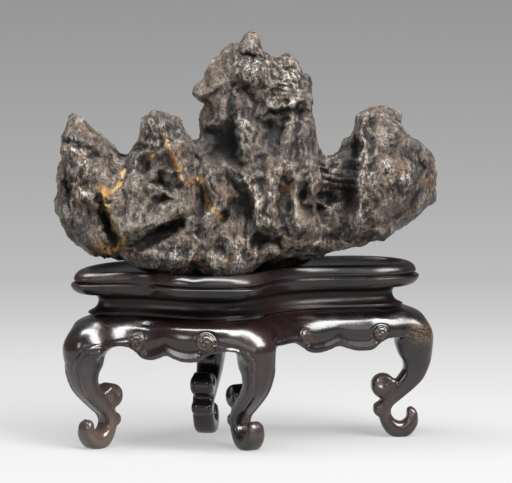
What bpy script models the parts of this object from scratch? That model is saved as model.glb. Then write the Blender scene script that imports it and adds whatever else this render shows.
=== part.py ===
"""A scholars rock: a small dark mountain-shaped stone on a carved hardwood stand.

Sizes are in millimetres and are scaled to metres when a mesh is made.
X runs to the right, Y away from the front, Z up; the stand's feet are on Z = 0.
"""
import math

import bmesh
import bpy
import numpy as np
from mathutils import Matrix, Vector, noise

MM = 0.001
GAP = 0.3                 # clearance between pieces that touch

# Heights of the stand, from the floor up
FRAME_TOP = 52.3          # top of the apron frame and of the legs
WAIST_TOP = 60.3          # top of the recessed neck
SEAT = 68.7               # floor of the shallow seat in the top plate
RIM_TOP = 70.2            # crest of the rim round the seat
ROCK_FOOT = SEAT + GAP    # flat underside of the stone
SHOULDER_SHIFT = 2.0      # the frame sits this far to the right of the plate
WAIST_SHIFT = 0.3         # and the waist this far
FOOTPRINT_MIDDLE = (0.0, -10.4)

# Outline of the top plate seen from above, through its four lobes
PLATE_OUTLINE = [
    (-69, -26), (-66.5, -30), (-58, -30.5), (-47.5, -30), (-39.5, -31), (-35.5, -35.5),
    (-30, -40), (-21, -43.5), (-10, -44.3), (0, -43.3), (5, -40), (7.5, -34),
    (13, -23.5), (20, -15.5), (29, -12.5), (41, -10.5), (54, -10), (62, -6.5),
    (68.5, -1), (69, 7), (65, 15), (57, 21), (47, 24), (36, 23.5),
    (26, 20.5), (16, 20), (6, 22.5), (-7, 24), (-19, 22.5), (-30, 18),
    (-40, 12), (-49, 8.5), (-57, 3.5), (-63, -5), (-68, -16),
]
MOULDING_POINTS = 52      # points round the plate and the waist
APRON_POINTS = 66         # points round the apron frame

# Mouldings as (distance outside the plate's outline, height), from the bottom up
PLATE_PROFILE = [
    (-2.6, 60.6), (-0.6, 62.4), (0.0, 64.8), (-1.3, 65.4),
    (-0.7, 66.8), (-1.5, 69.3), (-3.1, RIM_TOP), (-4.6, 69.9), (-5.6, SEAT),
]
WAIST_PROFILE = [
    (-4.6, FRAME_TOP + GAP), (-4.5, 53.4), (-6.0, 54.2), (-7.4, 56.6),
    (-7.4, 58.6), (-5.8, WAIST_TOP),
]
SHOULDER_PROFILE = [
    (-10.5, FRAME_TOP), (-4.6, FRAME_TOP), (-3.0, 50.8), (0.2, 48.6), (2.3, 45.8), (3.0, 42.8),
]
APRON_FACE = 2.6          # outer face of the apron at its lower edge
APRON_BACK = -1.2         # inner face of the apron at its lower edge
APRON_UNDERSIDE = [(-3.0, 45.0), (-9.0, 46.0), (-10.5, 48.5)]

# Lower edge of an apron, from its first scroll (0) to its second (1): (place, height)
APRON_EDGE = [
    (-0.17, 40.4), (-0.04, 38.6), (0.1, 36.0), (0.22, 36.0), (0.36, 38.4), (0.5, 39.4),
    (0.64, 38.4), (0.78, 36.0), (0.9, 36.0), (1.04, 38.6), (1.17, 40.4),
]
# Where the two scrolls of each apron stand between its legs, from leg_left round
APRON_SCROLLS = [(0.32, 0.67), (0.37, 0.72), (0.28, 0.7), (0.3, 0.7)]
SCROLL_HEIGHT = 42.6
SCROLL_RADIUS = 3.3
SCROLL_PROUD = 0.9

# Legs: foot centre on the floor, and the way the knee points, in degrees from +X
LEGS = {
    "leg_left": ((-58.8, -29.7), 222),
    "leg_front": ((0.8, -33.4), 302),
    "leg_right": ((61.0, -0.2), 5),
    "leg_back": ((-15.8, 8.6), 77),
}
# Centre line of a leg from its top down and round the upturned foot:
# (outward, height, half thickness, half width)
LEG_PATH = [
    (0.2, 52.0, 3.0, 5.4), (1.8, 48.0, 4.6, 6.4), (4.6, 44.2, 7.2, 7.2),
    (6.2, 40.2, 8.5, 7.2), (6.9, 35.6, 7.4, 6.6), (7.4, 30.8, 5.8, 5.8),
    (6.4, 26.0, 4.8, 5.2), (3.3, 21.9, 4.1, 4.8), (-1.0, 17.9, 3.5, 4.6),
    (-4.6, 14.4, 3.1, 4.5), (-5.9, 10.6, 3.0, 4.4), (-4.9, 6.8, 3.1, 4.4),
    (-1.9, 3.3, 3.6, 4.4), (2.2, 2.7, 3.3, 4.3), (5.2, 5.3, 2.8, 4.0),
    (5.9, 8.7, 2.2, 3.4), (5.0, 11.2, 1.0, 2.4),
]
KNEE_SCROLL = (-6.3, 20.2, 4.5, 4.5)      # outward, height, radius, half width
ANKLE_BEAD = (-7.5, 11.4, 2.1, 4.2)
LEG_SIDES = 8
FULLNESS = 3.0            # corner fullness of a leg's section, 2 is an ellipse

# The stone's five masses as stacked sections: (height, left, right, front, back)
LEFT_PEAK = [
    (130.6, -69.3, -65.5, -16, -9), (127.8, -71.2, -63.0, -19, -7), (123.3, -73.6, -59.0, -22, -4),
    (119.0, -74.8, -51.5, -25, -1), (98.0, -76.2, -44.5, -29, 4), (90.0, -75.3, -42.5, -29, 4),
    (84.0, -72.0, -40.5, -28, 3), (79.5, -68.0, -38.5, -26, 1), (75.4, -62.5, -36.0, -23, -2),
    (73.6, -53.0, -34.0, -20, -4),
]
SECOND_PEAK = [
    (134.0, -35.5, -31.0, -21, -15), (131.0, -39.5, -26.5, -25, -11), (126.0, -42.0, -23.0, -28, -7),
    (119.5, -44.0, -18.5, -31, -4), (96.0, -50.0, -13.5, -36, 2), (84.0, -51.5, -13.0, -37, 3),
    (76.0, -50.5, -15.0, -37, 3), (72.0, -45.5, -16.5, -32, 2), (68.0, -37.0, -18.0, -28, 0),
]
MAIN_PEAK = [
    (158.4, -5.6, 2.5, -15, -2), (156.6, -8.6, 5.0, -17, 1), (154.5, -10.4, 10.5, -18, 2),
    (152.0, -12.0, 15.5, -19, 3), (148.5, -14.0, 20.6, -21, 6), (142.0, -18.4, 25.4, -23, 8),
    (138.6, -20.9, 26.4, -24, 9), (134.5, -18.4, 27.2, -24, 9), (123.5, -18.0, 28.3, -27, 10),
    (113.0, -22.0, 29.4, -31, 12), (101.0, -23.5, 32.0, -33, 14), (88.0, -23.5, 34.0, -33, 15),
    (79.0, -22.5, 31.5, -29, 14), (74.0, -21.0, 29.5, -20, 13), (71.5, -20.5, 27.0, -8, 12),
    (68.0, -19.5, 24.0, -4, 10),
]
FRONT_FOOT = [
    (100.0, -18.0, 0.0, -30, -12), (92.0, -21.0, 6.0, -34, -8), (82.0, -21.5, 9.5, -38, -6),
    (73.0, -20.5, 7.0, -37, -5), (68.0, -18.0, 2.5, -33, -6),
]
RIGHT_PEAK = [
    (134.6, 47.6, 56.0, -3, 4), (133.2, 46.6, 58.2, -6, 7), (129.8, 45.0, 60.6, -9, 10),
    (125.0, 42.8, 62.4, -12, 12), (122.4, 41.6, 64.6, -13, 13), (119.0, 39.6, 69.6, -15, 15),
    (115.6, 37.0, 74.0, -16, 16), (112.0, 33.6, 75.6, -17, 17),
    (106.0, 29.5, 76.2, -20, 19), (97.0, 27.5, 76.4, -22, 18), (91.5, 24.0, 71.8, -22, 16),
    (84.5, 20.0, 63.4, -22, 13), (79.0, 18.0, 46.5, -21, 11), (74.5, 16.5, 33.5, -14, 9),
]
# Knobs and fillings that stand on the masses: (across, depth, height) of the middle, then half sizes
LUMPS = [
    ((1.0, -8.0, 160.9), (3.9, 4.0, 4.5)), ((16.0, -6.0, 149.4), (6.2, 7.5, 5.4)),
    ((25.6, -8.0, 137.3), (2.4, 3.6, 2.4)), ((-47.6, -14.0, 110.0), (6.5, 8.0, 6.3)),
    ((32.5, -2.0, 108.6), (6.4, 9.0, 5.2)), ((72.0, 0.0, 111.6), (3.4, 5.0, 4.0)),
    ((61.0, 1.0, 128.0), (2.4, 5.0, 2.6)),
]
LUMP_SUBDIVISIONS = 3
MASSES = (LEFT_PEAK, SECOND_PEAK, MAIN_PEAK, FRONT_FOOT, RIGHT_PEAK)
SECTION_POINTS = 22
SECTION_FULLNESS = 2.5

# Relief on the front of the stone. Each line is a route of (across, height) points
# with its half width and its depth; a negative depth stands proud.
RELIEF = [
    ([(-73, 121.5), (-67, 121.5)], 1.0, 1.8),                             # slot under the left ledge
    ([(-73, 123.8), (-63, 122.8)], 1.0, -0.9),
    ([(-72, 117.0), (-64, 117.5)], 1.0, -0.9),
    ([(-71, 104.0), (-70.5, 93.0)], 1.0, 1.4),                            # side crack
    ([(-57.5, 96.5), (-55, 88), (-51.5, 81.5)], 1.5, 3.4),                # deep crack
    ([(-33.8, 106.2)], 2.6, 2.2), ([(-33.4, 99.4)], 2.0, 1.6), ([(-9, 91.8)], 2.2, 2.6),
    ([(-24.5, 91.4), (-31.5, 87), (-44, 79.8)], 2.9, 5.0),                # slanting cavity
    ([(-37, 91.5), (-27, 92)], 1.8, -1.2),
    ([(-36, 76.5), (-30, 76.5)], 4.2, -1.8), ([(-20, 84)], 4.6, -2.4),    # swellings at the foot
    ([(-8.6, 142), (-8.6, 129)], 1.4, -1.4), ([(-1.4, 136.5), (-1.4, 126.5)], 1.3, -1.2),
    ([(-7, 119.5)], 5.2, 3.6), ([(-1.8, 127), (-1.8, 115)], 1.6, -1.6),   # niche and its edge
    ([(6.6, 115.7)], 1.7, 1.6), ([(6.6, 111.8)], 1.7, 1.6), ([(9.2, 127)], 2.6, 2.0),
    ([(15.6, 137.7)], 1.9, 1.6), ([(0.6, 143)], 1.7, 1.4), ([(8.2, 140.5)], 1.7, 1.4),
    ([(10.9, 108.5), (11.6, 99.5), (10.9, 91)], 1.6, -1.5),
    ([(-1.2, 108.5), (3.6, 102), (5, 96)], 1.6, -1.4),
    ([(16.6, 108), (16.6, 89.5)], 2.7, 2.2), ([(23, 101)], 3.2, 4.2),     # trough and deep pit
    ([(29.4, 98.6)], 2.0, 2.0), ([(29.8, 93.4)], 2.0, 2.0), ([(-1.4, 97.4)], 2.0, 1.8),
    ([(0.6, 85.4), (14.6, 83)], 2.4, 3.0), ([(27, 82.6)], 4.2, -2.0),
    ([(33.2, 98), (33.2, 92)], 3.0, 4.4),                                 # pit under the saddle
    ([(46.8, 129.7), (46.2, 121), (48.2, 110.6), (45, 106), (43.8, 95.4), (40.6, 85)], 1.8, -1.9),
    ([(41.5, 118), (40.5, 104), (38.5, 92)], 3.2, 2.6), ([(72.6, 113.4)], 2.6, -1.0),
]
LEDGES = [(138.5, 12, 24, 2.4), (141.0, 12, 24, 2.4), (143.5, 13, 23, 2.4),
          (112.0, 31, 43, 3.2), (108.4, 31, 43, 3.2), (104.8, 31, 43, 3.2)]
LEDGE_DEPTH = 0.9
HOLLOWS = 60              # smaller hollows all round, placed by a fixed seed
SEED = 7

FOLD_SIZE, FOLD_DEPTH = 22.0, 6.0
CRAG_SIZE, CRAG_DEPTH = 13.0, 1.5
CRAG_BIAS = 0.2           # makes up for what the relief takes off
CRAG_LIMITS = (-2.2, 2.0)
BACK_CRAGS = 1.5          # the back is this much rougher than the front
KNOB_SIZE, KNOB_DEPTH = 5.5, 0.8
FORMING_VOXEL = 1.5
FINE_VOXEL = 1.05
STONE_TRIANGLES = 4300

STONE_COLOUR = (0.085, 0.075, 0.066, 1.0)
WOOD_COLOUR = (0.030, 0.012, 0.010, 1.0)


def clear_scene():
    for item in list(bpy.data.objects):
        bpy.data.objects.remove(item, do_unlink=True)


def collection(name):
    group = bpy.data.collections.new(name)
    bpy.context.scene.collection.children.link(group)
    return group


def surface_material(name, colour, roughness):
    material = bpy.data.materials.new(name)
    material.use_nodes = True
    shader = material.node_tree.nodes["Principled BSDF"]
    shader.inputs["Base Color"].default_value = colour
    shader.inputs["Roughness"].default_value = roughness
    shader.inputs["Metallic"].default_value = 0.0
    return material


def stone_material():
    return surface_material("dark stone", STONE_COLOUR, 0.5)


def wood_material(piece):
    return surface_material("polished hardwood " + piece, WOOD_COLOUR, 0.28)


def add_object(name, mesh, group, material=None):
    thing = bpy.data.objects.new(name, mesh)
    group.objects.link(thing)
    if material is not None:
        mesh.materials.append(material)
    return thing


def as_cutter(thing):
    thing.hide_render = True
    thing.display_type = "WIRE"
    return thing


def boolean(thing, other, operation):
    modifier = thing.modifiers.new(operation.lower() + " " + other.name, "BOOLEAN")
    modifier.operation = operation
    modifier.solver = "EXACT"
    modifier.object = other


def loft(name, rings, closed=False):
    """A mesh through rings of equal size (millimetres); the ends are capped unless closed."""
    rings = np.asarray(rings, dtype=float) * MM
    shape = bmesh.new()
    rows = [[shape.verts.new(point) for point in ring] for ring in rings]
    count = len(rows[0])
    pairs = list(zip(rows, rows[1:])) + ([(rows[-1], rows[0])] if closed else [])
    for low, high in pairs:
        for i in range(count):
            j = (i + 1) % count
            shape.faces.new((low[i], low[j], high[j], high[i]))
    if not closed:
        shape.faces.new(rows[0])
        shape.faces.new(rows[-1])
    bmesh.ops.recalc_face_normals(shape, faces=shape.faces[:])
    if shape.calc_volume(signed=True) < 0:
        bmesh.ops.reverse_faces(shape, faces=shape.faces[:])
    bmesh.ops.triangulate(shape, faces=shape.faces[:])
    mesh = bpy.data.meshes.new(name)
    shape.to_mesh(mesh)
    shape.free()
    mesh.shade_smooth()
    mesh.set_sharp_from_angle(angle=math.radians(40))
    return mesh


def evaluated_mesh(thing):
    graph = bpy.context.evaluated_depsgraph_get()
    return bpy.data.meshes.new_from_object(thing.evaluated_get(graph))


def closed_curve(points, count):
    """Evenly spaced points on a closed Catmull-Rom curve through the given points."""
    points = np.asarray(points, dtype=float)
    before, after, later = (np.roll(points, shift, axis=0) for shift in (1, -1, -2))
    pieces = []
    for t in np.linspace(0, 1, 24, endpoint=False):
        pieces.append(0.5 * (2 * points + (after - before) * t
                             + (2 * before - 5 * points + 4 * after - later) * t ** 2
                             + (3 * points - before - 3 * after + later) * t ** 3))
    dense = np.stack(pieces, axis=1).reshape(-1, 2)
    steps = np.linalg.norm(np.roll(dense, -1, axis=0) - dense, axis=1)
    travel = np.concatenate(([0.0], np.cumsum(steps)))
    dense = np.vstack((dense, dense[:1]))
    places = np.linspace(0, travel[-1], count, endpoint=False)
    return np.stack([np.interp(places, travel, dense[:, axis]) for axis in (0, 1)], axis=1)


def smoothed(values, passes):
    for _ in range(passes):
        values = 0.5 * values + 0.25 * (np.roll(values, 1, axis=0) + np.roll(values, -1, axis=0))
    return values


def outward_normals(outline, passes):
    along = smoothed(np.roll(outline, -1, axis=0) - np.roll(outline, 1, axis=0), passes)
    normals = np.stack((along[:, 1], -along[:, 0]), axis=1)
    return normals / np.linalg.norm(normals, axis=1, keepdims=True)


def offset_outline(outline, distance):
    """The outline moved outward, its corners eased more the further it moves."""
    ease = int(round(abs(distance) * 2))
    moved = outline + distance * outward_normals(outline, 2 + ease)
    return smoothed(moved, ease // 2)


def moulding(name, outline, profile):
    """A solid whose edge follows the profile all round the outline."""
    rings = []
    for outward, height in profile:
        ring = offset_outline(outline, outward)
        rings.append(np.column_stack((ring, np.full(len(ring), height))))
    return loft(name, rings)


def leg_stations(outline):
    """Index of the outline point nearest each leg's knee, in order round the outline."""
    stations = []
    for (foot_x, foot_y), heading in LEGS.values():
        angle = math.radians(heading)
        knee = np.array((foot_x + 12 * math.cos(angle), foot_y + 12 * math.sin(angle)))
        stations.append(int(np.argmin(np.linalg.norm(outline - knee, axis=1))))
    return sorted(stations)


def apron_lower_edge(outline):
    """Height of the aprons' lower edge at each outline point."""
    count = len(outline)
    stations = leg_stations(outline)
    edge = np.array(APRON_EDGE)
    heights = np.zeros(count)
    for start, end, (first, second) in zip(stations, stations[1:] + [stations[0] + count],
                                           APRON_SCROLLS):
        span = np.arange(start, end)
        place = (span - start) / (end - start)
        heights[span % count] = np.interp((place - first) / (second - first), edge[:, 0], edge[:, 1])
    return heights


def scroll_bosses(outline):
    """Centre and facing of each round scroll end, on the outer face of the aprons."""
    count = len(outline)
    stations = leg_stations(outline)
    face = offset_outline(outline, APRON_FACE)
    normals = outward_normals(face, 3)
    bosses = []
    for start, end, places in zip(stations, stations[1:] + [stations[0] + count], APRON_SCROLLS):
        for place in places:
            index = int(round(start + place * (end - start))) % count
            bosses.append(((*face[index], SCROLL_HEIGHT), (*normals[index], 0.0)))
    return bosses


def apron_frame(outline):
    """The ring with the round shoulder above and the shaped aprons below."""
    lower = apron_lower_edge(outline)
    rings = []
    for outward, height in SHOULDER_PROFILE:
        rings.append((outward, np.full(len(outline), height)))
    rings.append((APRON_FACE, lower))
    rings.append((APRON_BACK, lower + 0.2))
    for outward, height in APRON_UNDERSIDE:
        rings.append((outward, np.full(len(outline), height)))
    loops = [np.column_stack((offset_outline(outline, outward), height)) for outward, height in rings]
    return loft("apron_frame", loops, closed=True)


def leg_frame(foot, heading):
    """Foot centre, the way outward and the way across, as three-dimensional vectors."""
    angle = math.radians(heading)
    outward = np.array((math.cos(angle), math.sin(angle), 0.0))
    across = np.array((-math.sin(angle), math.cos(angle), 0.0))
    return np.array((foot[0], foot[1], 0.0)), outward, across


def leg_sweep(name, foot, heading, path, clearance=0.0):
    """Full rounded sections carried down the leg's centre line, square to it."""
    origin, outward, across = leg_frame(foot, heading)
    up = np.array((0.0, 0.0, 1.0))
    path = np.asarray(path, dtype=float)
    centres = path[:, 0:1] * outward + path[:, 1:2] * up
    tangents = np.gradient(centres, axis=0)
    tangents[0] = -up
    tangents /= np.linalg.norm(tangents, axis=1, keepdims=True)
    angles = np.linspace(0, 2 * math.pi, LEG_SIDES, endpoint=False) + math.pi / LEG_SIDES
    power = 2.0 / FULLNESS
    thick = np.sign(np.cos(angles)) * np.abs(np.cos(angles)) ** power
    wide = np.sign(np.sin(angles)) * np.abs(np.sin(angles)) ** power
    rings = []
    for centre, tangent, (half_thick, half_wide) in zip(centres, tangents, path[:, 2:4]):
        side = np.cross(tangent, across)
        rings.append(origin + centre
                     + np.outer(thick * (half_thick + clearance), side)
                     + np.outer(wide * (half_wide + clearance), across))
    return loft(name, rings)


def disc_mesh(name, centre, axis, radius, thickness, segments=10):
    """A short cylinder about the given centre, with its axis along the given direction."""
    shape = bmesh.new()
    bmesh.ops.create_cone(shape, cap_ends=True, segments=segments, radius1=radius * MM,
                          radius2=radius * MM, depth=thickness * MM)
    turn = Vector((0, 0, 1)).rotation_difference(Vector(axis)).to_matrix()
    bmesh.ops.rotate(shape, verts=shape.verts[:], matrix=turn)
    bmesh.ops.translate(shape, verts=shape.verts[:], vec=Vector(centre) * MM)
    mesh = bpy.data.meshes.new(name)
    shape.to_mesh(mesh)
    shape.free()
    return mesh


def roller(name, foot, heading, disc):
    """A scroll or a bead lying across a leg."""
    origin, outward, across = leg_frame(foot, heading)
    reach, height, radius, half_width = disc
    centre = origin + reach * outward + np.array((0.0, 0.0, height))
    return disc_mesh(name, centre, across, radius, 2 * half_width)


def level_foot(mesh):
    """Takes the foot off flat at the floor, so that the leg stands on a real face."""
    shape = bmesh.new()
    shape.from_mesh(mesh)
    everything = shape.verts[:] + shape.edges[:] + shape.faces[:]
    cut = bmesh.ops.bisect_plane(shape, geom=everything, plane_co=(0, 0, 0), plane_no=(0, 0, -1),
                                 clear_outer=True)
    rim = [item for item in cut["geom_cut"] if isinstance(item, bmesh.types.BMEdge)]
    bmesh.ops.holes_fill(shape, edges=rim)
    bmesh.ops.recalc_face_normals(shape, faces=shape.faces[:])
    shape.to_mesh(mesh)
    shape.free()


def leg(name, foot, heading, parts, cutters):
    mesh = leg_sweep(name, foot, heading, LEG_PATH)
    level_foot(mesh)
    thing = add_object(name, mesh, parts, wood_material(name))
    for label, disc in (("scroll", KNEE_SCROLL), ("bead", ANKLE_BEAD)):
        extra = as_cutter(add_object(name + " " + label, roller(label, foot, heading, disc), cutters))
        boolean(thing, extra, "UNION")
    return thing


def stack(rows):
    """A closed mass through full oval sections, one for each height."""
    angles = np.linspace(0, 2 * math.pi, SECTION_POINTS, endpoint=False)
    power = 2.0 / SECTION_FULLNESS
    across = np.sign(np.cos(angles)) * np.abs(np.cos(angles)) ** power
    depth = np.sign(np.sin(angles)) * np.abs(np.sin(angles)) ** power
    rings = []
    for height, left, right, front, back in reversed(rows):
        rings.append(np.column_stack((
            (left + right) / 2 + across * (right - left) / 2,
            (front + back) / 2 + depth * (back - front) / 2,
            np.full(SECTION_POINTS, float(height)))))
    return loft("mass", rings)


def lump(shape, middle, half_sizes):
    """Adds a round lump to the stone that is being formed."""
    place = Matrix.Translation(Vector(middle) * MM) @ Matrix.Diagonal((*(Vector(half_sizes) * MM), 1.0))
    bmesh.ops.create_icosphere(shape, subdivisions=LUMP_SUBDIVISIONS, radius=1.0, matrix=place)


def remeshed(mesh, voxel):
    """One closed skin round everything in the mesh."""
    holder = bpy.data.objects.new("forming", mesh)
    bpy.context.scene.collection.objects.link(holder)
    modifier = holder.modifiers.new("skin", "REMESH")
    modifier.mode = "VOXEL"
    modifier.voxel_size = voxel * MM
    result = evaluated_mesh(holder)
    bpy.data.objects.remove(holder)
    return result


def vertex_array(mesh, field):
    values = np.empty(len(mesh.vertices) * 3)
    source = mesh.vertices if field == "co" else mesh.vertex_normals
    source.foreach_get("co" if field == "co" else "vector", values)
    return values.reshape(-1, 3)


def route_distance(points, route):
    """Distance in the front view from each point to the nearest part of the route."""
    flat = points[:, (0, 2)]
    route = np.asarray(route, dtype=float)
    if len(route) == 1:
        return np.linalg.norm(flat - route[0], axis=1)
    nearest = np.full(len(flat), np.inf)
    for start, end in zip(route, route[1:]):
        run = end - start
        place = np.clip((flat - start) @ run / (run @ run), 0, 1)
        gap = np.linalg.norm(flat - (start + place[:, None] * run), axis=1)
        nearest = np.minimum(nearest, gap)
    return nearest


def crags(points):
    """Broken relief: ridged folds for the crags and rounded cells for the knobs."""
    relief = np.empty(len(points))
    for i, point in enumerate(points):
        place = Vector(point)
        ridge = noise.ridged_multi_fractal(place / CRAG_SIZE, 0.9, 2.1, 3, 1.0, 2.0)
        knob = noise.voronoi(place / KNOB_SIZE)[0][0]
        relief[i] = CRAG_DEPTH * (ridge - 1.35) + KNOB_DEPTH * (0.9 - 2.0 * knob)
    return np.clip(relief + CRAG_BIAS, *CRAG_LIMITS)


def front_relief(points, facing):
    """Pits, cracks, ribs and ledges of the front, pushed in along the surface."""
    relief = np.zeros(len(points))
    for route, half_width, depth in RELIEF:
        relief -= depth * np.exp(-(route_distance(points, route) / half_width) ** 2)
    for height, left, right, pitch in LEDGES:
        inside = (points[:, 0] > left) & (points[:, 0] < right)
        close = np.abs(points[:, 2] - height) < pitch / 2
        step = (points[:, 2] - height) / pitch
        relief += np.where(inside & close, LEDGE_DEPTH * 2 * step, 0.0)
    return relief * np.clip(0.3 + facing * 2.0, 0.0, 1.0)


def scattered_hollows(points):
    """Round hollows of several sizes over the whole stone."""
    chance = np.random.default_rng(SEED)
    relief = np.zeros(len(points))
    for centre in points[chance.integers(0, len(points), HOLLOWS)]:
        radius = chance.uniform(1.6, 4.2)
        away = np.linalg.norm(points - centre, axis=1)
        relief -= 0.45 * radius * np.exp(-(away / radius) ** 2)
    return relief


def buckled(points):
    """The masses pushed forward and back in broad folds, so that none stays round."""
    shift = np.empty(len(points))
    for i, (across, depth, height) in enumerate(points):
        fold = noise.noise(Vector((across, height * 0.6, depth * 0.3)) / FOLD_SIZE)
        wave = noise.noise(Vector((depth, across, height)) * 2.3 / FOLD_SIZE)
        shift[i] = FOLD_DEPTH * (1.6 * fold + 0.7 * wave)
    calm = np.clip((points[:, 2] - ROCK_FOOT - 2.0) / 14.0, 0.0, 1.0)
    return np.column_stack((points[:, 0], points[:, 1] + shift * calm, points[:, 2]))


def carve(mesh):
    """Folds the formed stone and cuts its relief."""
    points = vertex_array(mesh, "co") / MM
    mesh.vertices.foreach_set("co", (buckled(points) * MM).ravel())
    mesh.update()
    points = vertex_array(mesh, "co") / MM
    normals = vertex_array(mesh, "normal")
    rougher = 1.0 + (BACK_CRAGS - 1.0) * np.clip(normals[:, 1] * 2.0, 0.0, 1.0)
    relief = crags(points) * rougher
    relief += front_relief(points, -normals[:, 1]) + scattered_hollows(points)
    points += normals * relief[:, None]
    mesh.vertices.foreach_set("co", (points * MM).ravel())
    mesh.update()


def level_underside(mesh):
    """Cuts the stone flat where it sits in the stand."""
    shape = bmesh.new()
    shape.from_mesh(mesh)
    everything = shape.verts[:] + shape.edges[:] + shape.faces[:]
    cut = bmesh.ops.bisect_plane(shape, geom=everything, plane_co=(0, 0, ROCK_FOOT * MM),
                                 plane_no=(0, 0, -1), clear_outer=True)
    rim = [item for item in cut["geom_cut"] if isinstance(item, bmesh.types.BMEdge)]
    bmesh.ops.holes_fill(shape, edges=rim)
    bmesh.ops.triangulate(shape, faces=shape.faces[:])
    bmesh.ops.recalc_face_normals(shape, faces=shape.faces[:])
    shape.to_mesh(mesh)
    shape.free()


def rock(parts):
    shape = bmesh.new()
    for rows in MASSES:
        shape.from_mesh(stack(rows))
    for middle, half_sizes in LUMPS:
        lump(shape, middle, half_sizes)
    rough = bpy.data.meshes.new("rough stone")
    shape.to_mesh(rough)
    shape.free()
    formed = remeshed(rough, FORMING_VOXEL)
    carve(formed)
    skin = remeshed(formed, FINE_VOXEL)
    level_underside(skin)
    thing = add_object("rock", skin, parts, stone_material())
    thinner = thing.modifiers.new("broad facets", "DECIMATE")
    thinner.ratio = min(1.0, STONE_TRIANGLES / sum(len(face.vertices) - 2 for face in skin.polygons))
    return thing


def stand(parts, cutters):
    outline = closed_curve(PLATE_OUTLINE, MOULDING_POINTS)
    frame_outline = closed_curve(PLATE_OUTLINE, APRON_POINTS) + np.array((SHOULDER_SHIFT, 0.0))
    lower_outline = outline + np.array((WAIST_SHIFT, 0.0))
    add_object("top_plate", moulding("top_plate", outline, PLATE_PROFILE), parts,
               wood_material("top_plate"))
    add_object("waist", moulding("waist", lower_outline, WAIST_PROFILE), parts,
               wood_material("waist"))
    frame = add_object("apron_frame", apron_frame(frame_outline), parts,
                       wood_material("apron_frame"))
    for number, (centre, facing) in enumerate(scroll_bosses(frame_outline)):
        boss = disc_mesh("scroll", centre, facing, SCROLL_RADIUS, 2 * SCROLL_PROUD)
        boolean(frame, as_cutter(add_object(f"apron scroll {number}", boss, cutters)), "UNION")
    for name, (foot, heading) in LEGS.items():
        leg(name, foot, heading, parts, cutters)
        socket = leg_sweep("socket", foot, heading, LEG_PATH[:7], clearance=GAP)
        socket_cutter = as_cutter(add_object(name + " socket", socket, cutters))
        socket_cutter.location.z = GAP * MM
        boolean(frame, socket_cutter, "DIFFERENCE")


def place_on_origin(groups):
    """Stands everything on an empty that puts the middle of the footprint at X = Y = 0."""
    base = bpy.data.objects.new("scholars rock base", None)
    bpy.context.scene.collection.objects.link(base)
    for group in groups:
        for thing in group.objects:
            thing.parent = base
    base.location = Vector((-FOOTPRINT_MIDDLE[0], -FOOTPRINT_MIDDLE[1], 0.0)) * MM


clear_scene()
parts = collection("scholars rock")
cutters = collection("cutters")
stand(parts, cutters)
rock(parts)
place_on_origin((parts, cutters))
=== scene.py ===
# A scholars rock on its carved hardwood stand: the finished surfaces of the stone and the stand,
# a pale floor, soft lamps and a camera. Shapes are worked out in millimetres.
import math

import bmesh
import bpy
import numpy as np
from mathutils import Matrix, Vector
from mathutils.geometry import delaunay_2d_cdt


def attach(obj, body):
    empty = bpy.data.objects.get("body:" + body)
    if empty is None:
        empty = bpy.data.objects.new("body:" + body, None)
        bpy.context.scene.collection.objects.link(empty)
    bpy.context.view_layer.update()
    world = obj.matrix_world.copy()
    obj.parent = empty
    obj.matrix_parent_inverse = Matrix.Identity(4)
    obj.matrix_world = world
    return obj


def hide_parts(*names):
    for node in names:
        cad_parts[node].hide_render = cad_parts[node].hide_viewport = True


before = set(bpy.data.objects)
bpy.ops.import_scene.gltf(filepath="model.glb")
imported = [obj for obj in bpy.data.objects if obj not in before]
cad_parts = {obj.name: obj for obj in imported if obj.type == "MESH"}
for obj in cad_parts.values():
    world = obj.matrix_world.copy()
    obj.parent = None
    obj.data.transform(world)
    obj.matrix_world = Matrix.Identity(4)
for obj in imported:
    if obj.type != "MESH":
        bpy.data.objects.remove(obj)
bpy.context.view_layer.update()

mm = 0.001
standShift = np.array((0.0, 10.4, 0.0))      # from the drawing's place to the finished one


def gridFaces(rows, columns, closedRows=False):
    # quads between neighbours on a grid whose columns run all the way round
    r = np.arange(rows if closedRows else rows - 1)
    c = np.arange(columns)
    row, column = np.meshgrid(r, c, indexing="ij")
    nextRow, nextColumn = (row + 1) % rows, (column + 1) % columns
    corners = (row * columns + column, row * columns + nextColumn,
               nextRow * columns + nextColumn, nextRow * columns + column)
    return np.stack(corners, axis=-1).reshape(-1, 4)


def meshFromArrays(name, points, quads, caps=()):
    # a closed surface from points in millimetres, quads and the polygons that close its ends
    mesh = bpy.data.meshes.new(name)
    faces = quads.tolist() + [list(cap) for cap in caps]
    mesh.from_pydata((np.asarray(points) * mm).tolist(), [], faces)
    mesh.update()
    outward(mesh)
    mesh.shade_smooth()
    return mesh


def outward(mesh):
    # every face turned to point out of the solid
    shape = bmesh.new()
    shape.from_mesh(mesh)
    bmesh.ops.recalc_face_normals(shape, faces=shape.faces[:])
    if shape.calc_volume(signed=True) < 0:
        bmesh.ops.reverse_faces(shape, faces=shape.faces[:])
    shape.to_mesh(mesh)
    shape.free()


def readPoints(mesh):
    # a mesh's points in millimetres, one row each
    values = np.empty(len(mesh.vertices) * 3)
    mesh.vertices.foreach_get("co", values)
    return values.reshape(-1, 3) / mm


def writePoints(mesh, points):
    # points in millimetres put back into the mesh
    mesh.vertices.foreach_set("co", (points * mm).ravel())
    mesh.update()


def readNormals(mesh):
    # the outward direction at each point, the mean of its faces'
    values = np.empty(len(mesh.vertices) * 3)
    mesh.vertex_normals.foreach_get("vector", values)
    return values.reshape(-1, 3)


def readEdges(mesh):
    # the two point numbers of each edge
    values = np.empty(len(mesh.edges) * 2, dtype=np.int64)
    mesh.edges.foreach_get("vertices", values)
    return values.reshape(-1, 2)


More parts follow.
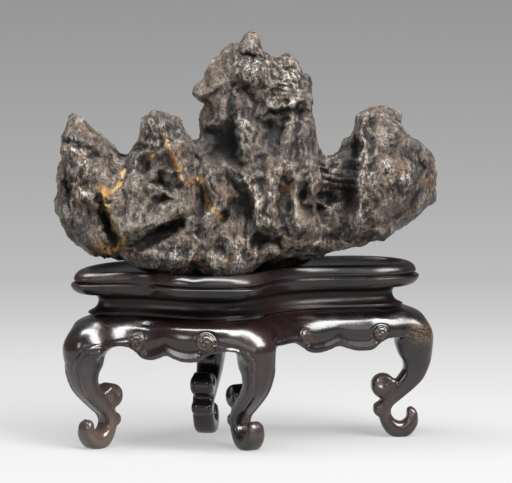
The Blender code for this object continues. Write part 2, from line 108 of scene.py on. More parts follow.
def unit(vectors):
    # each row divided by its own length
    return vectors / np.linalg.norm(vectors, axis=-1, keepdims=True)


def averaged(values, edges, passes, share=1.0):
    # each point moves towards the mean of its neighbours
    a, b = edges[:, 0], edges[:, 1]
    count = np.bincount(np.concatenate((a, b)), minlength=len(values)).astype(float)
    count = np.maximum(count, 1.0)
    values = values.copy()
    flat = values.reshape(len(values), -1)
    for _ in range(passes):
        for k in range(flat.shape[1]):
            total = np.bincount(a, flat[b, k], len(flat)) + np.bincount(b, flat[a, k], len(flat))
            flat[:, k] += share * (total / count - flat[:, k])
    return values


def addField(mesh, name, values):
    # one number a point, kept on the mesh for the materials to read
    field = mesh.attributes.get(name) or mesh.attributes.new(name, "FLOAT", "POINT")
    field.data.foreach_set("value", np.asarray(values, dtype=np.float32))


def hollowField(mesh, passes, reach):
    # how far a point lies inside (+) or outside (-) the evened-out surface, as a share of reach
    points, normals = readPoints(mesh), readNormals(mesh)
    even = averaged(points, readEdges(mesh), passes)
    return np.clip(((even - points) * normals).sum(axis=1) / reach, -1, 1)


def reskinned(mesh, voxel):
    # one closed even skin over everything in the mesh
    holder = bpy.data.objects.new("holder", mesh)
    bpy.context.scene.collection.objects.link(holder)
    skin = holder.modifiers.new("skin", "REMESH")
    skin.mode = "VOXEL"
    skin.voxel_size = voxel * mm
    graph = bpy.context.evaluated_depsgraph_get()
    result = bpy.data.meshes.new_from_object(holder.evaluated_get(graph))
    bpy.data.objects.remove(holder)
    result.shade_smooth()
    return result


def joined(meshes):
    # all of them in one mesh, not yet merged
    shape = bmesh.new()
    for mesh in meshes:
        shape.from_mesh(mesh)
    result = bpy.data.meshes.new("joined")
    shape.to_mesh(result)
    shape.free()
    return result


def showPiece(name, mesh, material, slot, *nodes):
    # a finished piece with its material, in the place of the plain solids it stands for
    piece = bpy.data.objects.new(name, mesh)
    bpy.context.scene.collection.objects.link(piece)
    mesh.materials.clear()
    mesh.materials.append(material)
    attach(piece, "root")
    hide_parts(*nodes)
    print(name, "done:", len(mesh.polygons), "faces")


def cornerHash(cell, seed):
    # one number from 0 to 1023 for each whole-number cell
    mixed = cell[:, 0] * 73856093 ^ cell[:, 1] * 19349663 ^ cell[:, 2] * 83492791 ^ seed * 2654435
    mixed ^= mixed >> 13
    return (mixed * 1274126177 >> 7) & 1023


slopeTable = unit(np.random.default_rng(11).normal(size=(1024, 3)))
placeTable = np.random.default_rng(12).random((1024, 3))


def swell(points, size, seed):
    # smooth field from about -1 to 1: random slopes at the cell corners, blended by a quintic fade
    place = points / size + seed * 7.31
    cell = np.floor(place).astype(np.int64)
    local = place - cell
    fade = local ** 3 * (local * (local * 6 - 15) + 10)
    total = np.zeros(len(points))
    for corner in np.ndindex(2, 2, 2):
        offset = np.array(corner)
        slope = slopeTable[cornerHash(cell + offset, seed)]
        weight = np.prod(np.where(offset == 1, fade, 1 - fade), axis=1)
        total += weight * ((local - offset) * slope).sum(axis=1)
    return total * 1.7


def swells(points, size, seed):
    # three such fields side by side, to shift a place along each axis
    return np.stack([swell(points, size, seed + k) for k in range(3)], axis=1)


def scallops(points, size, seed):
    # bowls round one random point a cell, each tilted its own way; the lowest bowl counts, so that
    # sharp ridges stand between them: least of (distance squared + tilt . distance + level)
    place = points / size + seed * 5.37
    cell = np.floor(place).astype(np.int64)
    lowest = np.full(len(points), 9.0)
    for corner in np.ndindex(3, 3, 3):
        there = cell + np.array(corner) - 1
        number = cornerHash(there, seed)
        away = place - there - placeTable[number]
        bowl = (away ** 2).sum(axis=1) + 0.55 * (away * slopeTable[number]).sum(axis=1)
        lowest = np.minimum(lowest, bowl + 0.3 * placeTable[(number * 7 + 3) & 1023, 0])
    return lowest - 0.36


def ridgePlanes(points, lines):
    # flat faces stretched between the lines: each triangle's value is the weighted mean of its corners
    places, values, joins = [], [], []
    for line in lines:
        joins += [(len(places) + k, len(places) + k + 1) for k in range(len(line) - 1)]
        places += [Vector(p[:2]) for p in line]
        values += [p[2] for p in line]
    for x, z in ((-110, 50), (110, 50), (-110, 190), (110, 190)):
        places.append(Vector((x, z)))
        values.append(0.0)
    spots, _, faces, origins, _, _ = delaunay_2d_cdt(places, joins, [], 0, 0.01)
    spots = np.array([s[:] for s in spots])
    level = np.array([values[o[0]] if o else 0.0 for o in origins])
    flat = points[:, (0, 2)]
    result = np.zeros(len(points))
    for face in faces:
        corners, heights = spots[list(face)], level[list(face)]
        near = (flat >= corners.min(axis=0) - 0.01) & (flat <= corners.max(axis=0) + 0.01)
        chosen = np.nonzero(near.all(axis=1))[0]
        p, b, c = flat[chosen] - corners[0], corners[1] - corners[0], corners[2] - corners[0]
        area = b[0] * c[1] - b[1] * c[0]
        if abs(area) < 1e-9 or not len(chosen):
            continue
        v = (p[:, 0] * c[1] - p[:, 1] * c[0]) / area
        w = (p[:, 1] * b[0] - p[:, 0] * b[1]) / area
        inside = (v >= -0.001) & (w >= -0.001) & (v + w <= 1.001)
        value = (1 - v - w) * heights[0] + v * heights[1] + w * heights[2]
        result[chosen[inside]] = value[inside]
    return result


def routeGap(points, route):
    # distance in the front view to the nearest part of a line through (across, height) points
    flat = points[:, (0, 2)]
    route = np.asarray(route, dtype=float)
    if len(route) == 1:
        return np.linalg.norm(flat - route[0], axis=1)
    nearest = np.full(len(flat), np.inf)
    for start, end in zip(route, route[1:]):
        run = end - start
        place = np.clip((flat - start) @ run / (run @ run), 0, 1)
        nearest = np.minimum(nearest, np.linalg.norm(flat - start - place[:, None] * run, axis=1))
    return nearest


def smoothStep(low, high, value):
    # 0 up to low, 1 from high on, and a smooth cubic between
    t = np.clip((value - low) / (high - low), 0, 1)
    return t * t * (3 - 2 * t)


def bell(value, middle, width):
    # 1 at the middle and less on both sides: e to the minus (distance / width) squared
    return np.exp(-((value - middle) / width) ** 2)


def ovalGap(points, middle, halfWide, halfTall):
    # distance from an oval's middle in the front view, 1 on its edge
    return np.hypot((points[:, 0] - middle[0]) / halfWide, (points[:, 2] - middle[1]) / halfTall)


stoneShape = {
    "skin": 0.7,               # size of the skin's quads
    "facetPasses": 7,          # how far the solid's facets are evened out first
    "planeDepth": 1.25,        # share of the ridge lines' depth
    "scallops": [(13.0, 2.2), (6.6, 1.6), (3.6, 1.05), (2.1, 0.6)],    # size, depth
    "stretch": 0.62,           # below 1 the scallops run more up and down than across
    "grainSize": 1.3, "grainDepth": 0.22,
    "reliefLimits": (-6.5, 3.2),
    "foot": 69.0,              # level of the stone's flat underside
    "topLean": 1.7,            # how far the topmost knob leans to the right
}
# Lines of (across, height, proud) on the front; the faces between them are flat. The points and their
# depths were picked, but these figures are not typed by hand: one program turned the points
# into millimetres, and another rounded them to 0.5 mm, and the depths to 0.2 mm.
stoneRidges = [
    [(-7, 158, 0.4), (-6.5, 152.5, 1.6), (-7.5, 145.5, 1.8), (-9, 139, 1.6), (-10, 133, 1.4),
     (-10.5, 128.5, 0.6)],
    [(-5, 143, 0.2), (-6, 136, -0.4), (-6, 130, -1.2), (-8.5, 122.5, -4.2), (-12, 117.5, -4.2)],
    [(-4.5, 127, -2.8), (-4, 120, -5.2), (-5, 115.5, -4.6)],
    [(-16.5, 114.5, -0.4), (-12.5, 112, 0.2), (-7, 112.5, 0.4), (-1, 112.5, 0.8)],
    [(-16, 127, -0.6), (-16.5, 121.5, -1)],
    [(-2.5, 146, 0.4), (-3, 140, 0.8), (-2, 135, 1.6), (-1.5, 129, 2.6), (-2, 123, 3), (-2.5, 118.5, 2.8),
     (-1, 113.5, 1.2)],
    [(-2, 155, 0.4), (2, 154, 0.4)],
    [(2.5, 145.5, 1.6), (6.5, 146.5, 2), (9.5, 144, 2.2), (9, 140.5, 1.8), (6.5, 139, 1.2)],
    [(0.5, 141.5, -1.4)],
    [(4.5, 137, -1)],
    [(6.5, 154, -1.4), (8, 151, -0.8)],
    [(11.5, 153.5, 1.2), (16, 154, 1.4), (20.5, 151, 0.6)],
    [(11.5, 147, -1), (17, 146, -1.2), (23, 145.5, -0.4)],
    [(9, 135, 1.6), (15, 135, 2.2), (19, 137, 2.2), (23.5, 138.5, 1.8)],
    [(10, 133.5, -1.2), (15.5, 133, -1.4), (20, 135, -1)],
    [(3.5, 130.5, 0.4), (5.5, 126, 1.6), (4.5, 120, 1.6)],
    [(9, 129, -3), (10, 125.5, -3.6), (8, 122.5, -1.6)],
    [(15.5, 130.5, -1.8), (14, 126, -3.2), (12.5, 121.5, -2.2), (11, 117.5, -1.4)],
    [(18, 130.5, 1.2), (17, 125.5, 1.6), (16, 120, 1.8), (17, 115.5, 2.2)],
    [(21, 133, -1), (20.5, 126, -1.6), (20, 118.5, -1.4), (22, 112, -2)],
    [(23.5, 133.5, 1.2), (24, 126, 1.4), (24, 118.5, 1), (25, 111.5, 0.4)],
    [(-2, 110.5, 2), (1, 106, 2.8), (3.5, 100.5, 3), (4.5, 94, 3), (4, 87, 2)],
    [(12.5, 110, 2.6), (11.5, 102.5, 3.2), (11, 95.5, 3.4), (10.5, 90, 3), (15, 84, 2.2)],
    [(6.5, 110, 0.8), (8, 102.5, 1.4), (8, 95.5, 1.4)],
    [(6.5, 113.5, -1.8)],
    [(0, 100.5, -2), (1.5, 94, -2.2), (0.5, 88, -1)],
    [(-2, 97.5, -1.6), (-8, 108, -0.6), (-9.5, 99.5, -0.8), (-8, 92, -1.4), (-13.5, 106, -0.4)],
    [(13.5, 102.5, -0.6), (14, 94.5, -0.8), (16, 88, -0.4)],
    [(20, 108, 1), (19.5, 98.5, 0.8), (20.5, 90, 1)],
    [(23, 104, -3.4), (22.5, 100.5, -4.6), (22.5, 97.5, -3)],
    [(26, 104, 0.8), (26.5, 98.5, 1)],
    [(-23.5, 88, 0.8), (-18, 90, 1.6), (-12.5, 86.5, 1), (-7, 84.5, 1.8), (0, 83, 1.8)],
    [(2, 81.5, -2.6), (7.5, 82.5, -3.6), (14, 81.5, -2.6)],
    [(2.5, 78, 0.8), (9, 78, 1), (16, 78, 0.8)],
    [(22, 82.5, 0.8), (26.5, 86, 1.8), (31.5, 88, 1.8), (36, 90, 1)],
    [(26.5, 81.5, -0.4), (33, 83.5, -0.6)],
    [(29.5, 93.5, -3.6), (32, 96, -2.4)],
    [(28.5, 97, 0.6), (34, 93.5, 0.4), (30, 90, 0.6)],
    [(38, 114.5, -1.4), (40, 106.5, -2.2), (40, 98, -2.4), (38.5, 90, -1.8), (36.5, 83.5, -0.8)],
    [(42.5, 126, -1.2), (44, 118, -2.4), (43, 108, -3), (42.5, 100, -2.8), (42, 92, -2)],
    [(47.5, 134, 0.6), (47.5, 129, 2), (46, 124.5, 2.4), (47.5, 118, 2.8), (46.5, 111.5, 2.4),
     (45, 106, 2.8), (45, 99.5, 3), (45.5, 94, 2.4), (43, 87, 1.6), (41, 81, 0.6)],
    [(50.5, 127, -0.4), (51.5, 118, -0.6), (50, 110, -0.8)],
    [(51, 104.5, 1.2), (54, 99, 1), (58.5, 105, 1), (62.5, 99.5, 1.4)],
    [(60, 115.5, -1.8), (65, 114, -1)],
    [(53, 133, 0.4), (57, 130, 1), (60, 124.5, 1), (66.5, 122, 0.6)],
    [(57.5, 109, 1.4), (62, 108.5, 1.6), (66, 109, 1.2)],
    [(48, 92.5, 0.6), (54.5, 95.5, 1.2), (61, 98, 1.8), (66.5, 100, 1.6)],
    [(50.5, 87, -0.4), (58.5, 89.5, -0.6), (65, 92.5, -0.4)],
    [(70, 117, -1), (69.5, 113, -1.2), (71, 108.5, -0.8)],
    [(72.5, 116.5, 1), (73, 112, 1.2), (73, 109.5, 0.8)],
    [(-72, 127.5, 0.6), (-68, 128, 0.8), (-64, 125, 0.4)],
    [(-73.5, 123.5, 0.4), (-70, 123, 0.6), (-65.5, 121.5, 0.4)],
    [(-74, 121, -0.2), (-71, 120.5, -0.4), (-68.5, 120, -0.2)],
    [(-66, 119.5, -0.4)],
    [(-72.5, 117.5, 0.4), (-68.5, 117.5, 0.8), (-64, 115.5, 1), (-59.5, 118.5, 0.4)],
    [(-66, 113.5, 1.4), (-63, 108, 1.8), (-60, 102, 1.6), (-59, 96, 1)],
    [(-71, 110, -1), (-71, 102.5, -2.2), (-70.5, 95.5, -2), (-69.5, 90.5, -0.8)],
    [(-74, 110.5, 0.4), (-74, 100.5, 0.6), (-73.5, 93, 0.4)],
    [(-68, 106.5, 0.4), (-66, 98.5, 0.6), (-65.5, 90, 0.8), (-63, 82.5, 0.6)],
    [(-56.5, 114.5, -0.6), (-55, 108, -0.8)],
    [(-58, 97, -1.6), (-56.5, 93, -4.4), (-55, 88, -4.6), (-53, 83.5, -3.6), (-52, 81, -1.2)],
    [(-55.5, 96, 1.2), (-53, 92, 1.4), (-50.5, 86, 1.2)],
    [(-59.5, 93, 0.8), (-57.5, 86.5, 1), (-55.5, 81.5, 0.8)],
    [(-47, 115.5, -2), (-48, 110.5, -1.4), (-49.5, 106, -0.6)],
    [(-34, 127.5, 0.8), (-38, 121.5, 1.4), (-42, 116, 1.8), (-44.5, 110.5, 2), (-48, 104, 1.8),
     (-51.5, 99.5, 1.4)],
    [(-32, 126.5, 1), (-30, 121, 1.8), (-28, 115.5, 2), (-25.5, 110, 2), (-23, 104, 1.4), (-22, 97, 1)],
    [(-34, 120, -0.6), (-37.5, 115.5, -1.8), (-40, 110, -0.8), (-31, 114.5, -0.4)],
    [(-34, 111.5, 0.8), (-39, 106.5, 1.2), (-44, 102.5, 1.2), (-49.5, 97.5, 1.2)],
    [(-33, 106, -2.8)],
    [(-32.5, 99.5, -2.4)],
    [(-32.5, 102.5, 0.2)],
    [(-38, 100, 0.8), (-40, 94.5, 0.8), (-28, 100, 0.8), (-27, 94.5, 0.6)],
    [(-38, 90, 1.6), (-33.5, 91, 1.6), (-28.5, 91.5, 1.8), (-24, 92, 1.2)],
    [(-43, 82.5, -2.6), (-38, 85, -4.6), (-33, 87, -5.4), (-28, 89, -4.6), (-24.5, 90, -2)],
    [(-41.5, 79, 1), (-36, 81.5, 1.4), (-30, 84, 1.4), (-24.5, 86.5, 1)],
    [(-25.5, 127.5, -1.4), (-23, 121.5, -1.8), (-20, 114.5, -2.4)],
    [(-18, 106.5, -1.8), (-16, 100, -2), (-17.5, 94, -1)],
    [(-20, 120, -0.2), (-15, 110, 0.6), (-13, 102.5, 0.8)],
    [(-16, 108.5, 0.8), (-15, 102.5, 1), (-12.5, 95.5, 1)],
    [(-34, 77, 0.6), (-24, 75.5, 0.8), (-14, 76, 1), (-5.5, 75.5, 0.6)],
    [(-29.5, 80, -1.2), (-19, 81, -1), (-9.5, 80, -1.4), (-38, 76, -1)],
    [(-68.5, 86, -0.6), (-60.5, 78.5, 0.2)],
    [(22, 77, 0.2), (34, 80, 0.2), (46, 82, 0.2), (58.5, 85.5, 0.2)],
]

stoneKnobs = [      # (across, depth, height) of a round swelling, and its half sizes
    ((0.8, -8.0, 158.8), (4.3, 4.8, 4.9)), ((-17.2, -9.0, 139.2), (4.0, 6.0, 5.8)),
    ((-12.2, -9.0, 147.6), (4.4, 6.0, 6.4)), ((-6.6, -8.0, 155.2), (3.4, 5.0, 4.0)),
    ((16.4, -6.5, 149.6), (5.4, 6.5, 5.0)), ((23.0, -8.0, 143.4), (3.6, 5.0, 3.6)),
    ((70.5, 0.0, 112.0), (4.2, 6.0, 4.2)),
]

stoneFlats = [      # flat faces on the outline: (across, height) of a place, its way out, reach
    ((-15.6, 149.0), (-0.84, 0.54), 9.0), ((-16.6, 131.5), (-0.97, 0.24), 6.0),
    ((29.4, 119.5), (0.98, 0.2), 5.0), ((36.8, 116.5), (-0.95, 0.3), 4.5),
    ((75.4, 104.5), (0.99, -0.12), 8.0),
]

stoneMarks = [      # cracks and pits on the front: a route of (across, height), half width, depth
    ([(-57.5, 96.8), (-55.8, 91), (-53.8, 85.5), (-51.6, 80.8)], 1.1, 2.0),
    ([(-25.3, 91.0), (-29.5, 88.2), (-34, 85), (-39, 82.3), (-44.5, 79.8)], 1.7, 2.4),
    ([(-73.5, 121.6), (-69.5, 121.2), (-66.8, 121.6)], 0.7, 0.6),
    ([(-13, 119.5), (-6, 117.5)], 3.6, 3.0), ([(-71.5, 104.5), (-71, 99), (-70.3, 93)], 0.7, 1.0),
    ([(-33.8, 106.2)], 2.2, 1.6), ([(-33.4, 99.4)], 1.7, 1.4), ([(-9, 91.8)], 1.7, 2.2),
    ([(6.6, 115.7)], 1.4, 1.2), ([(6.6, 111.8)], 1.3, 1.2), ([(9.2, 127)], 2.0, 1.2),
    ([(14.2, 126), (13.0, 121)], 0.9, 1.4), ([(15.6, 137.7)], 1.6, 1.4), ([(0.6, 143)], 1.5, 1.4),
    ([(-19.5, 138.6), (-16.5, 136)], 2.4, 1.2), ([(22.8, 100.6)], 2.2, 2.4),
    ([(29.4, 98.6)], 1.6, 1.6), ([(29.8, 93.4)], 1.6, 1.6), ([(-1.4, 97.4)], 1.4, 1.2),
    ([(0.6, 85.4), (7, 84.2), (14.6, 83)], 1.6, 1.6), ([(33.0, 98), (32.6, 92)], 2.0, 2.0),
    ([(69.2, 116), (69.8, 110)], 0.7, 0.8), ([(59.5, 118)], 1.8, 1.0),
    ([(56, 109.5), (63, 108.5)], 0.7, 0.8),
]
stoneLedges = [      # level steps: height, left and right end, height of one step
    (112.6, 30, 44, 3.1), (109.5, 30, 44, 3.1), (106.4, 30, 44, 3.1), (103.3, 31, 43, 3.1),
    (138.9, 11, 24, 1.7), (140.6, 11, 24, 1.7), (142.3, 12, 24, 1.7), (144.0, 13, 23, 1.7),
    (145.7, 14, 22, 1.7),
]
goldVeins = [      # a route of (across, height), half width
    ([(-56.2, 102.6), (-55.4, 98.4), (-55.0, 94.6)], 2.0),
    ([(-59.4, 104.0), (-56.0, 101.8), (-52.4, 101.4), (-49.6, 104.4), (-48.4, 109.5)], 0.75),
    ([(-54.9, 96.5), (-53.2, 91.5), (-52.0, 86.0)], 0.7),
    ([(-32.4, 124.3), (-29.8, 118.5), (-27.6, 115.0), (-25.6, 109.0), (-22.4, 105.0)], 0.8),
    ([(-17.9, 110.0), (-16.8, 105.8), (-15.4, 100.0), (-14.0, 96.4), (-11.2, 93.0), (-9.3, 91.6)], 0.75),
    ([(-14.8, 95.6), (-11.8, 96.6)], 0.5), ([(-20.6, 106.6), (-19.0, 107.2)], 1.1),
    ([(-58.0, 80.6), (-55.0, 78.6), (-52.8, 77.4)], 1.2),
    ([(-51.6, 78.5), (-49.4, 81.5), (-47.2, 85.0)], 0.9), ([(-13.8, 75.6)], 0.8),
    ([(-8.3, 76.0)], 0.7), ([(-34.5, 117.6), (-38.0, 115.4)], 0.5),
]
paleVeins = [([(-32.6, 115.2), (-38, 109.4), (-44, 106.4), (-49.5, 102.2)], 0.5),
             ([(-22.4, 106), (-22.3, 92.4)], 0.3), ([(-40.5, 119), (-37, 121.5), (-31, 122.5)], 0.5)]
rustPatches = [      # (across, height), radius
    ((-56, 79.0), 6.0), ((-48.8, 81.0), 3.6), ((-37.6, 116.8), 3.6), ((15.4, 138.0), 1.9),
    ((62.2, 110.6), 3.0), ((16.5, 103), 3.0), ((-19, 77), 3.2), ((-11.5, 113.5), 2.8),
    ((72, 103), 3.0), ((-64, 126), 2.2),
]
brownPlanes = [((-12.5, 143.0), 6.0, 10.0), ((59.5, 92.6), 9.5, 5.5)]      # smoother faces
# painted light and painted shade: each area's colour is made lighter (plus) or darker (minus) so that it
# looks lit or shaded
paintedLightShadeAreas = [      # (across, height), half width, half height, doublings of brightness (minus: less)
    ((-66, 108.5), 9, 13, 0.6), ((10, 146.5), 14, 10, 0.25), ((-9, 120), 9, 8, -2.0),
    ((-6, 101), 8, 10, 0.3), ((17.5, 99), 4.5, 12, 0.9), ((6, 101), 5, 12, 0.25),
    ((41.5, 106.5), 4.2, 20, -1.7), ((18, 80.5), 22, 4, 0.8), ((-52, 121), 6, 8, 0.2),
    ((3, 121), 9, 12, -0.35),
]
# the places below get the most painted glints, and more pores
sparkAreas = [      # (across, height), half width, half height of the glittering places
    ((-34, 125), 8, 8), ((-1, 124), 3, 12), ((47, 110), 3.5, 22), ((56, 106), 10, 8), ((34, 104), 7, 12),
    ((4.5, 88), 5, 9), ((2, 150), 9, 9), ((18, 147), 6, 7), ((-68, 118), 6, 6), ((15, 136), 8, 3),
    ((-66, 104), 7, 12), ((-12, 78), 22, 4),
]


def stoneSkin():
    # the solid and its knobs under one skin, its facets evened out, its top leant and its flats cut
    shape = bmesh.new()
    shape.from_mesh(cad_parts["rock"].data)
    bmesh.ops.remove_doubles(shape, verts=shape.verts[:], dist=0.000002)
    for middle, halves in stoneKnobs:
        place = Matrix.Translation(Vector((np.array(middle) + standShift) * mm))
        size = Matrix.Diagonal((*(Vector(halves) * mm), 1))
        bmesh.ops.create_icosphere(shape, subdivisions=4, radius=1.0, matrix=place @ size)
    solid = bpy.data.meshes.new("solid")
    shape.to_mesh(solid)
    shape.free()
    mesh = reskinned(solid, stoneShape["skin"])
    points = averaged(readPoints(mesh), readEdges(mesh), stoneShape["facetPasses"])
    nearTop = smoothStep(151.0, 157.0, points[:, 2]) * smoothStep(12.0, 7.0, np.abs(points[:, 0]))
    points[:, 0] += stoneShape["topLean"] * nearTop
    for middle, (sideways, upward), reach in stoneFlats:
        offset = points[:, (0, 2)] - np.array(middle)
        beyond = np.maximum(offset @ np.array((sideways, upward)), 0)
        along = np.abs(offset @ np.array((-upward, sideways)))
        cut = beyond * smoothStep(reach, 0.6 * reach, along) * (beyond < 6)
        points[:, (0, 2)] -= cut[:, None] * np.array((sideways, upward))
    writePoints(mesh, points)
    return mesh, points


def stoneRelief(place, bend, wavy, calm, facing):
    # scallops of four sizes and a fine grain everywhere; on the front also marks and level steps
    s = stoneShape
    bent = place + 1.8 * bend
    bent[:, 0] += 0.35 * (place[:, 2] - 100) * smoothStep(-50, -62, place[:, 0])     # the left peak leans
    upright = bent * np.array((1.0, 1.0, s["stretch"]))
    relief = np.zeros(len(place))
    for number, (size, depth) in enumerate(s["scallops"]):
        patchy = 0.55 + 0.45 * swell(place, size * 2.3, 50 + number)
        bowls = scallops(upright, size, 40 + number) * (calm if size < 10 else 1.0)
        relief += depth * patchy * bowls * 1.6
    relief += s["grainDepth"] * swell(bent, s["grainSize"], 9) * calm
    for route, halfWidth, depth in stoneMarks:
        relief -= 0.8 * depth * bell(routeGap(wavy, route), 0, halfWidth) * facing
    for height, left, right, pitch in stoneLedges:
        step = (place[:, 2] - height + 1.1 * bend[:, 0] + 0.12 * (place[:, 0] - left)) / pitch
        inside = smoothStep(left - 1, left + 1, place[:, 0])
        inside *= smoothStep(right + 1, right - 1, place[:, 0])
        relief += np.where(np.abs(step) < 0.5, 0.5 * pitch * step, 0.0) * inside * facing
    return relief


def paintStone(mesh, bend, wavy, planes, calm, facing):
    # fields for the material: hollow, deep or proud (which steer painted shade and painted highlight),
    # veined, rusty, painted light and shade, painted glints, calm
    place = readPoints(mesh) - standShift
    addField(mesh, "hollow", hollowField(mesh, 6, 0.4))
    # sunken faces and the deep bays are marked for painted shade; proud faces get less of it
    sunken = smoothStep(-0.6, -4.5, planes) - 0.6 * smoothStep(0.6, 3.0, planes)
    bays = hollowField(mesh, 60, 2.4) * (0.55 + 0.45 * facing)
    addField(mesh, "deep", np.maximum(bays, sunken * facing))
    # proud faces are marked for a painted highlight
    addField(mesh, "proud", smoothStep(1.7, 3.2, planes))
    thin = 1 + 0.7 * swell(place, 2.2, 60) + 0.5 * swell(place, 5.0, 61)      # veins swell and thin out
    for name, veins in (("gold", goldVeins), ("pale", paleVeins)):
        mask = np.zeros(len(place))
        for route, halfWidth in veins:
            ragged = routeGap(wavy + 0.3 * bend, route) / (halfWidth * np.maximum(thin, 0.15))
            mask = np.maximum(mask, smoothStep(1.5, 0.35, ragged))
        addField(mesh, name, mask * facing)
    rust, tone, spark = np.zeros((3, len(place)))
    for spot, radius in rustPatches:
        ragged = routeGap(place + 1.2 * bend, [spot]) / radius
        rust = np.maximum(rust, smoothStep(1.15, 0.35, ragged))
    for middle, halfWide, halfTall, amount in paintedLightShadeAreas:
        tone += amount * smoothStep(1.4, 0.4, ovalGap(wavy, middle, halfWide, halfTall))
    for middle, halfWide, halfTall in sparkAreas:
        spark = np.maximum(spark, smoothStep(1.3, 0.4, ovalGap(wavy, middle, halfWide, halfTall)))
    for name, values in (("rust", rust), ("tone", tone), ("spark", spark)):
        addField(mesh, name, values * facing)
    addField(mesh, "calm", 1 - (calm - 0.3) / 0.7)


def stoneMesh():
    # the skin pushed along its normals by the relief, and forward by the flat faces between the ridges
    mesh, points = stoneSkin()
    normals = readNormals(mesh)
    place = points - standShift
    bend = swells(place, 9.0, 31)
    wavy = place + 0.9 * swells(place, 3.4, 34)
    facing = np.clip(0.25 - 2.0 * normals[:, 1], 0, 1)
    calm = np.ones(len(place))
    for middle, halfWide, halfTall in brownPlanes:
        gap = ovalGap(place + 2 * bend, middle, halfWide, halfTall)
        calm = np.minimum(calm, 0.3 + 0.7 * smoothStep(0.6, 1.25, gap))
    planes = stoneShape["planeDepth"] * ridgePlanes(wavy, stoneRidges)
    planes *= np.clip(-1.6 * normals[:, 1], 0, 1)      # on the front only
    rise = smoothStep(0.4, 5.0, points[:, 2] - stoneShape["foot"])
    relief = stoneRelief(place, bend, wavy, calm, facing)
    relief = np.clip(relief, *stoneShape["reliefLimits"]) * (0.25 + 0.75 * rise)
    points += normals * relief[:, None]
    points[:, 1] -= planes * rise
    points[:, 2] = np.maximum(points[:, 2], stoneShape["foot"] - 0.1)
    writePoints(mesh, points)
    paintStone(mesh, bend, wavy, planes, calm, facing)
    return mesh


outlineColumns = 760           # points round the stand's outline
plateOutline = [      # (across, back) round the top plate, seen from above
    (-69, -26), (-66.5, -30), (-58, -30.5), (-47.5, -30), (-39.5, -31), (-35.5, -35.5),
    (-30, -40), (-21, -43.5), (-10, -44.3), (0, -43.3), (5, -40), (7.5, -34),
    (13, -23.5), (20, -15.5), (29, -12.5), (41, -10.5), (54, -10), (62, -6.5),
    (68.5, -1), (69, 7), (65, 15), (57, 21), (47, 24), (36, 23.5),
    (26, 20.5), (16, 20), (6, 22.5), (-7, 24), (-19, 22.5), (-30, 18),
    (-40, 12), (-49, 8.5), (-57, 3.5), (-63, -5), (-68, -16),
]
outlineOffsets = (-10.5, -9.0, -7.4, -5.8, -4.6, -3.0, -1.2, 0.0, 1.2, 2.6, 3.0)


def cubic(before, here, after, later, t):
    # Catmull-Rom curve from one point to the next, bent by the points on both sides of them
    return 0.5 * (2 * here + (after - before) * t + (2 * before - 5 * here + 4 * after - later) * t ** 2
                  + (3 * here - before - 3 * after + later) * t ** 3)


def closedCurve(points, count):
    # evenly spaced points on a closed curve
    points = np.asarray(points, dtype=float)
    around = [np.roll(points, shift, axis=0)[:, None, :] for shift in (1, 0, -1, -2)]
    t = np.linspace(0, 1, 24, endpoint=False)[None, :, None]
    dense = cubic(*around, t).reshape(-1, points.shape[1])
    steps = np.linalg.norm(np.roll(dense, -1, axis=0) - dense, axis=1)
    travel = np.concatenate(([0.0], np.cumsum(steps)))
    dense = np.vstack((dense, dense[:1]))
    places = np.linspace(0, travel[-1], count, endpoint=False)
    return np.stack([np.interp(places, travel, column) for column in dense.T], axis=1)


def smoothCurve(points, count):
    # points along an open curve; every column is carried, sizes as well as places
    points = np.asarray(points, dtype=float)
    padded = np.vstack((2 * points[0] - points[1], points, 2 * points[-1] - points[-2]))
    s = np.linspace(0, len(points) - 1 - 1e-9, count)
    i = np.floor(s).astype(int)
    return cubic(*(padded[i + k] for k in range(4)), (s - i)[:, None])


def upsampled(ring, count):
    # a closed curve through the coarse ring, kept in step with its own points
    coarse = len(ring)
    s = np.linspace(0, coarse, count, endpoint=False)
    i = np.floor(s).astype(int)
    return cubic(*(ring[(i + k) % coarse] for k in (-1, 0, 1, 2)), (s - i)[:, None])


def eased(values, passes):
    # rows of a closed ring, each pass taking a quarter of both neighbours and a half of itself
    for _ in range(passes):
        values = 0.5 * values + 0.25 * (np.roll(values, 1, axis=0) + np.roll(values, -1, axis=0))
    return values


def outwardWays(ring, passes):
    # level direction square to the ring at each of its points, eased along it
    along = eased(np.roll(ring, -1, axis=0) - np.roll(ring, 1, axis=0), passes)
    return unit(np.stack((along[:, 1], -along[:, 0]), axis=1))


def nearestColumn(points, outline):
    # for each point the nearest place on the outline, a few thousand at a time to save memory
    parts = np.array_split(points, max(1, len(points) // 4000))
    gaps = (((part[:, None, :2] - outline[None]) ** 2).sum(axis=2) for part in parts)
    return np.concatenate([np.argmin(gap, axis=1) for gap in gaps])


def endCaps(rows, columns):
    # the borders of the two faces that close the first and the last row of a grid
    return [np.arange(columns), np.arange(columns) + (rows - 1) * columns]


def outlineFamily(spots, shift):
    # the outline moved outward by each of outlineOffsets, eased at corners, all with matching points
    coarse = closedCurve(plateOutline, spots) + np.array((shift, 0.0))
    family = []
    for distance in outlineOffsets:
        ease = int(round(abs(distance) * 2))
        ring = eased(coarse + distance * outwardWays(coarse, 2 + ease), ease // 2)
        family.append(upsampled(ring, outlineColumns))
    return np.array(family)


def familyAt(family, distance):
    # the ring at any outward distance, in a straight line between the two nearest of the family;
    # the distance may differ from column to column
    steps = np.array(outlineOffsets)
    distance = np.broadcast_to(distance, (family.shape[1],))
    i = np.clip(np.searchsorted(steps, distance) - 1, 0, len(steps) - 2)
    t = ((distance - steps[i]) / (steps[i + 1] - steps[i]))[:, None]
    column = np.arange(family.shape[1])
    return family[i, column] * (1 - t) + family[i + 1, column] * t


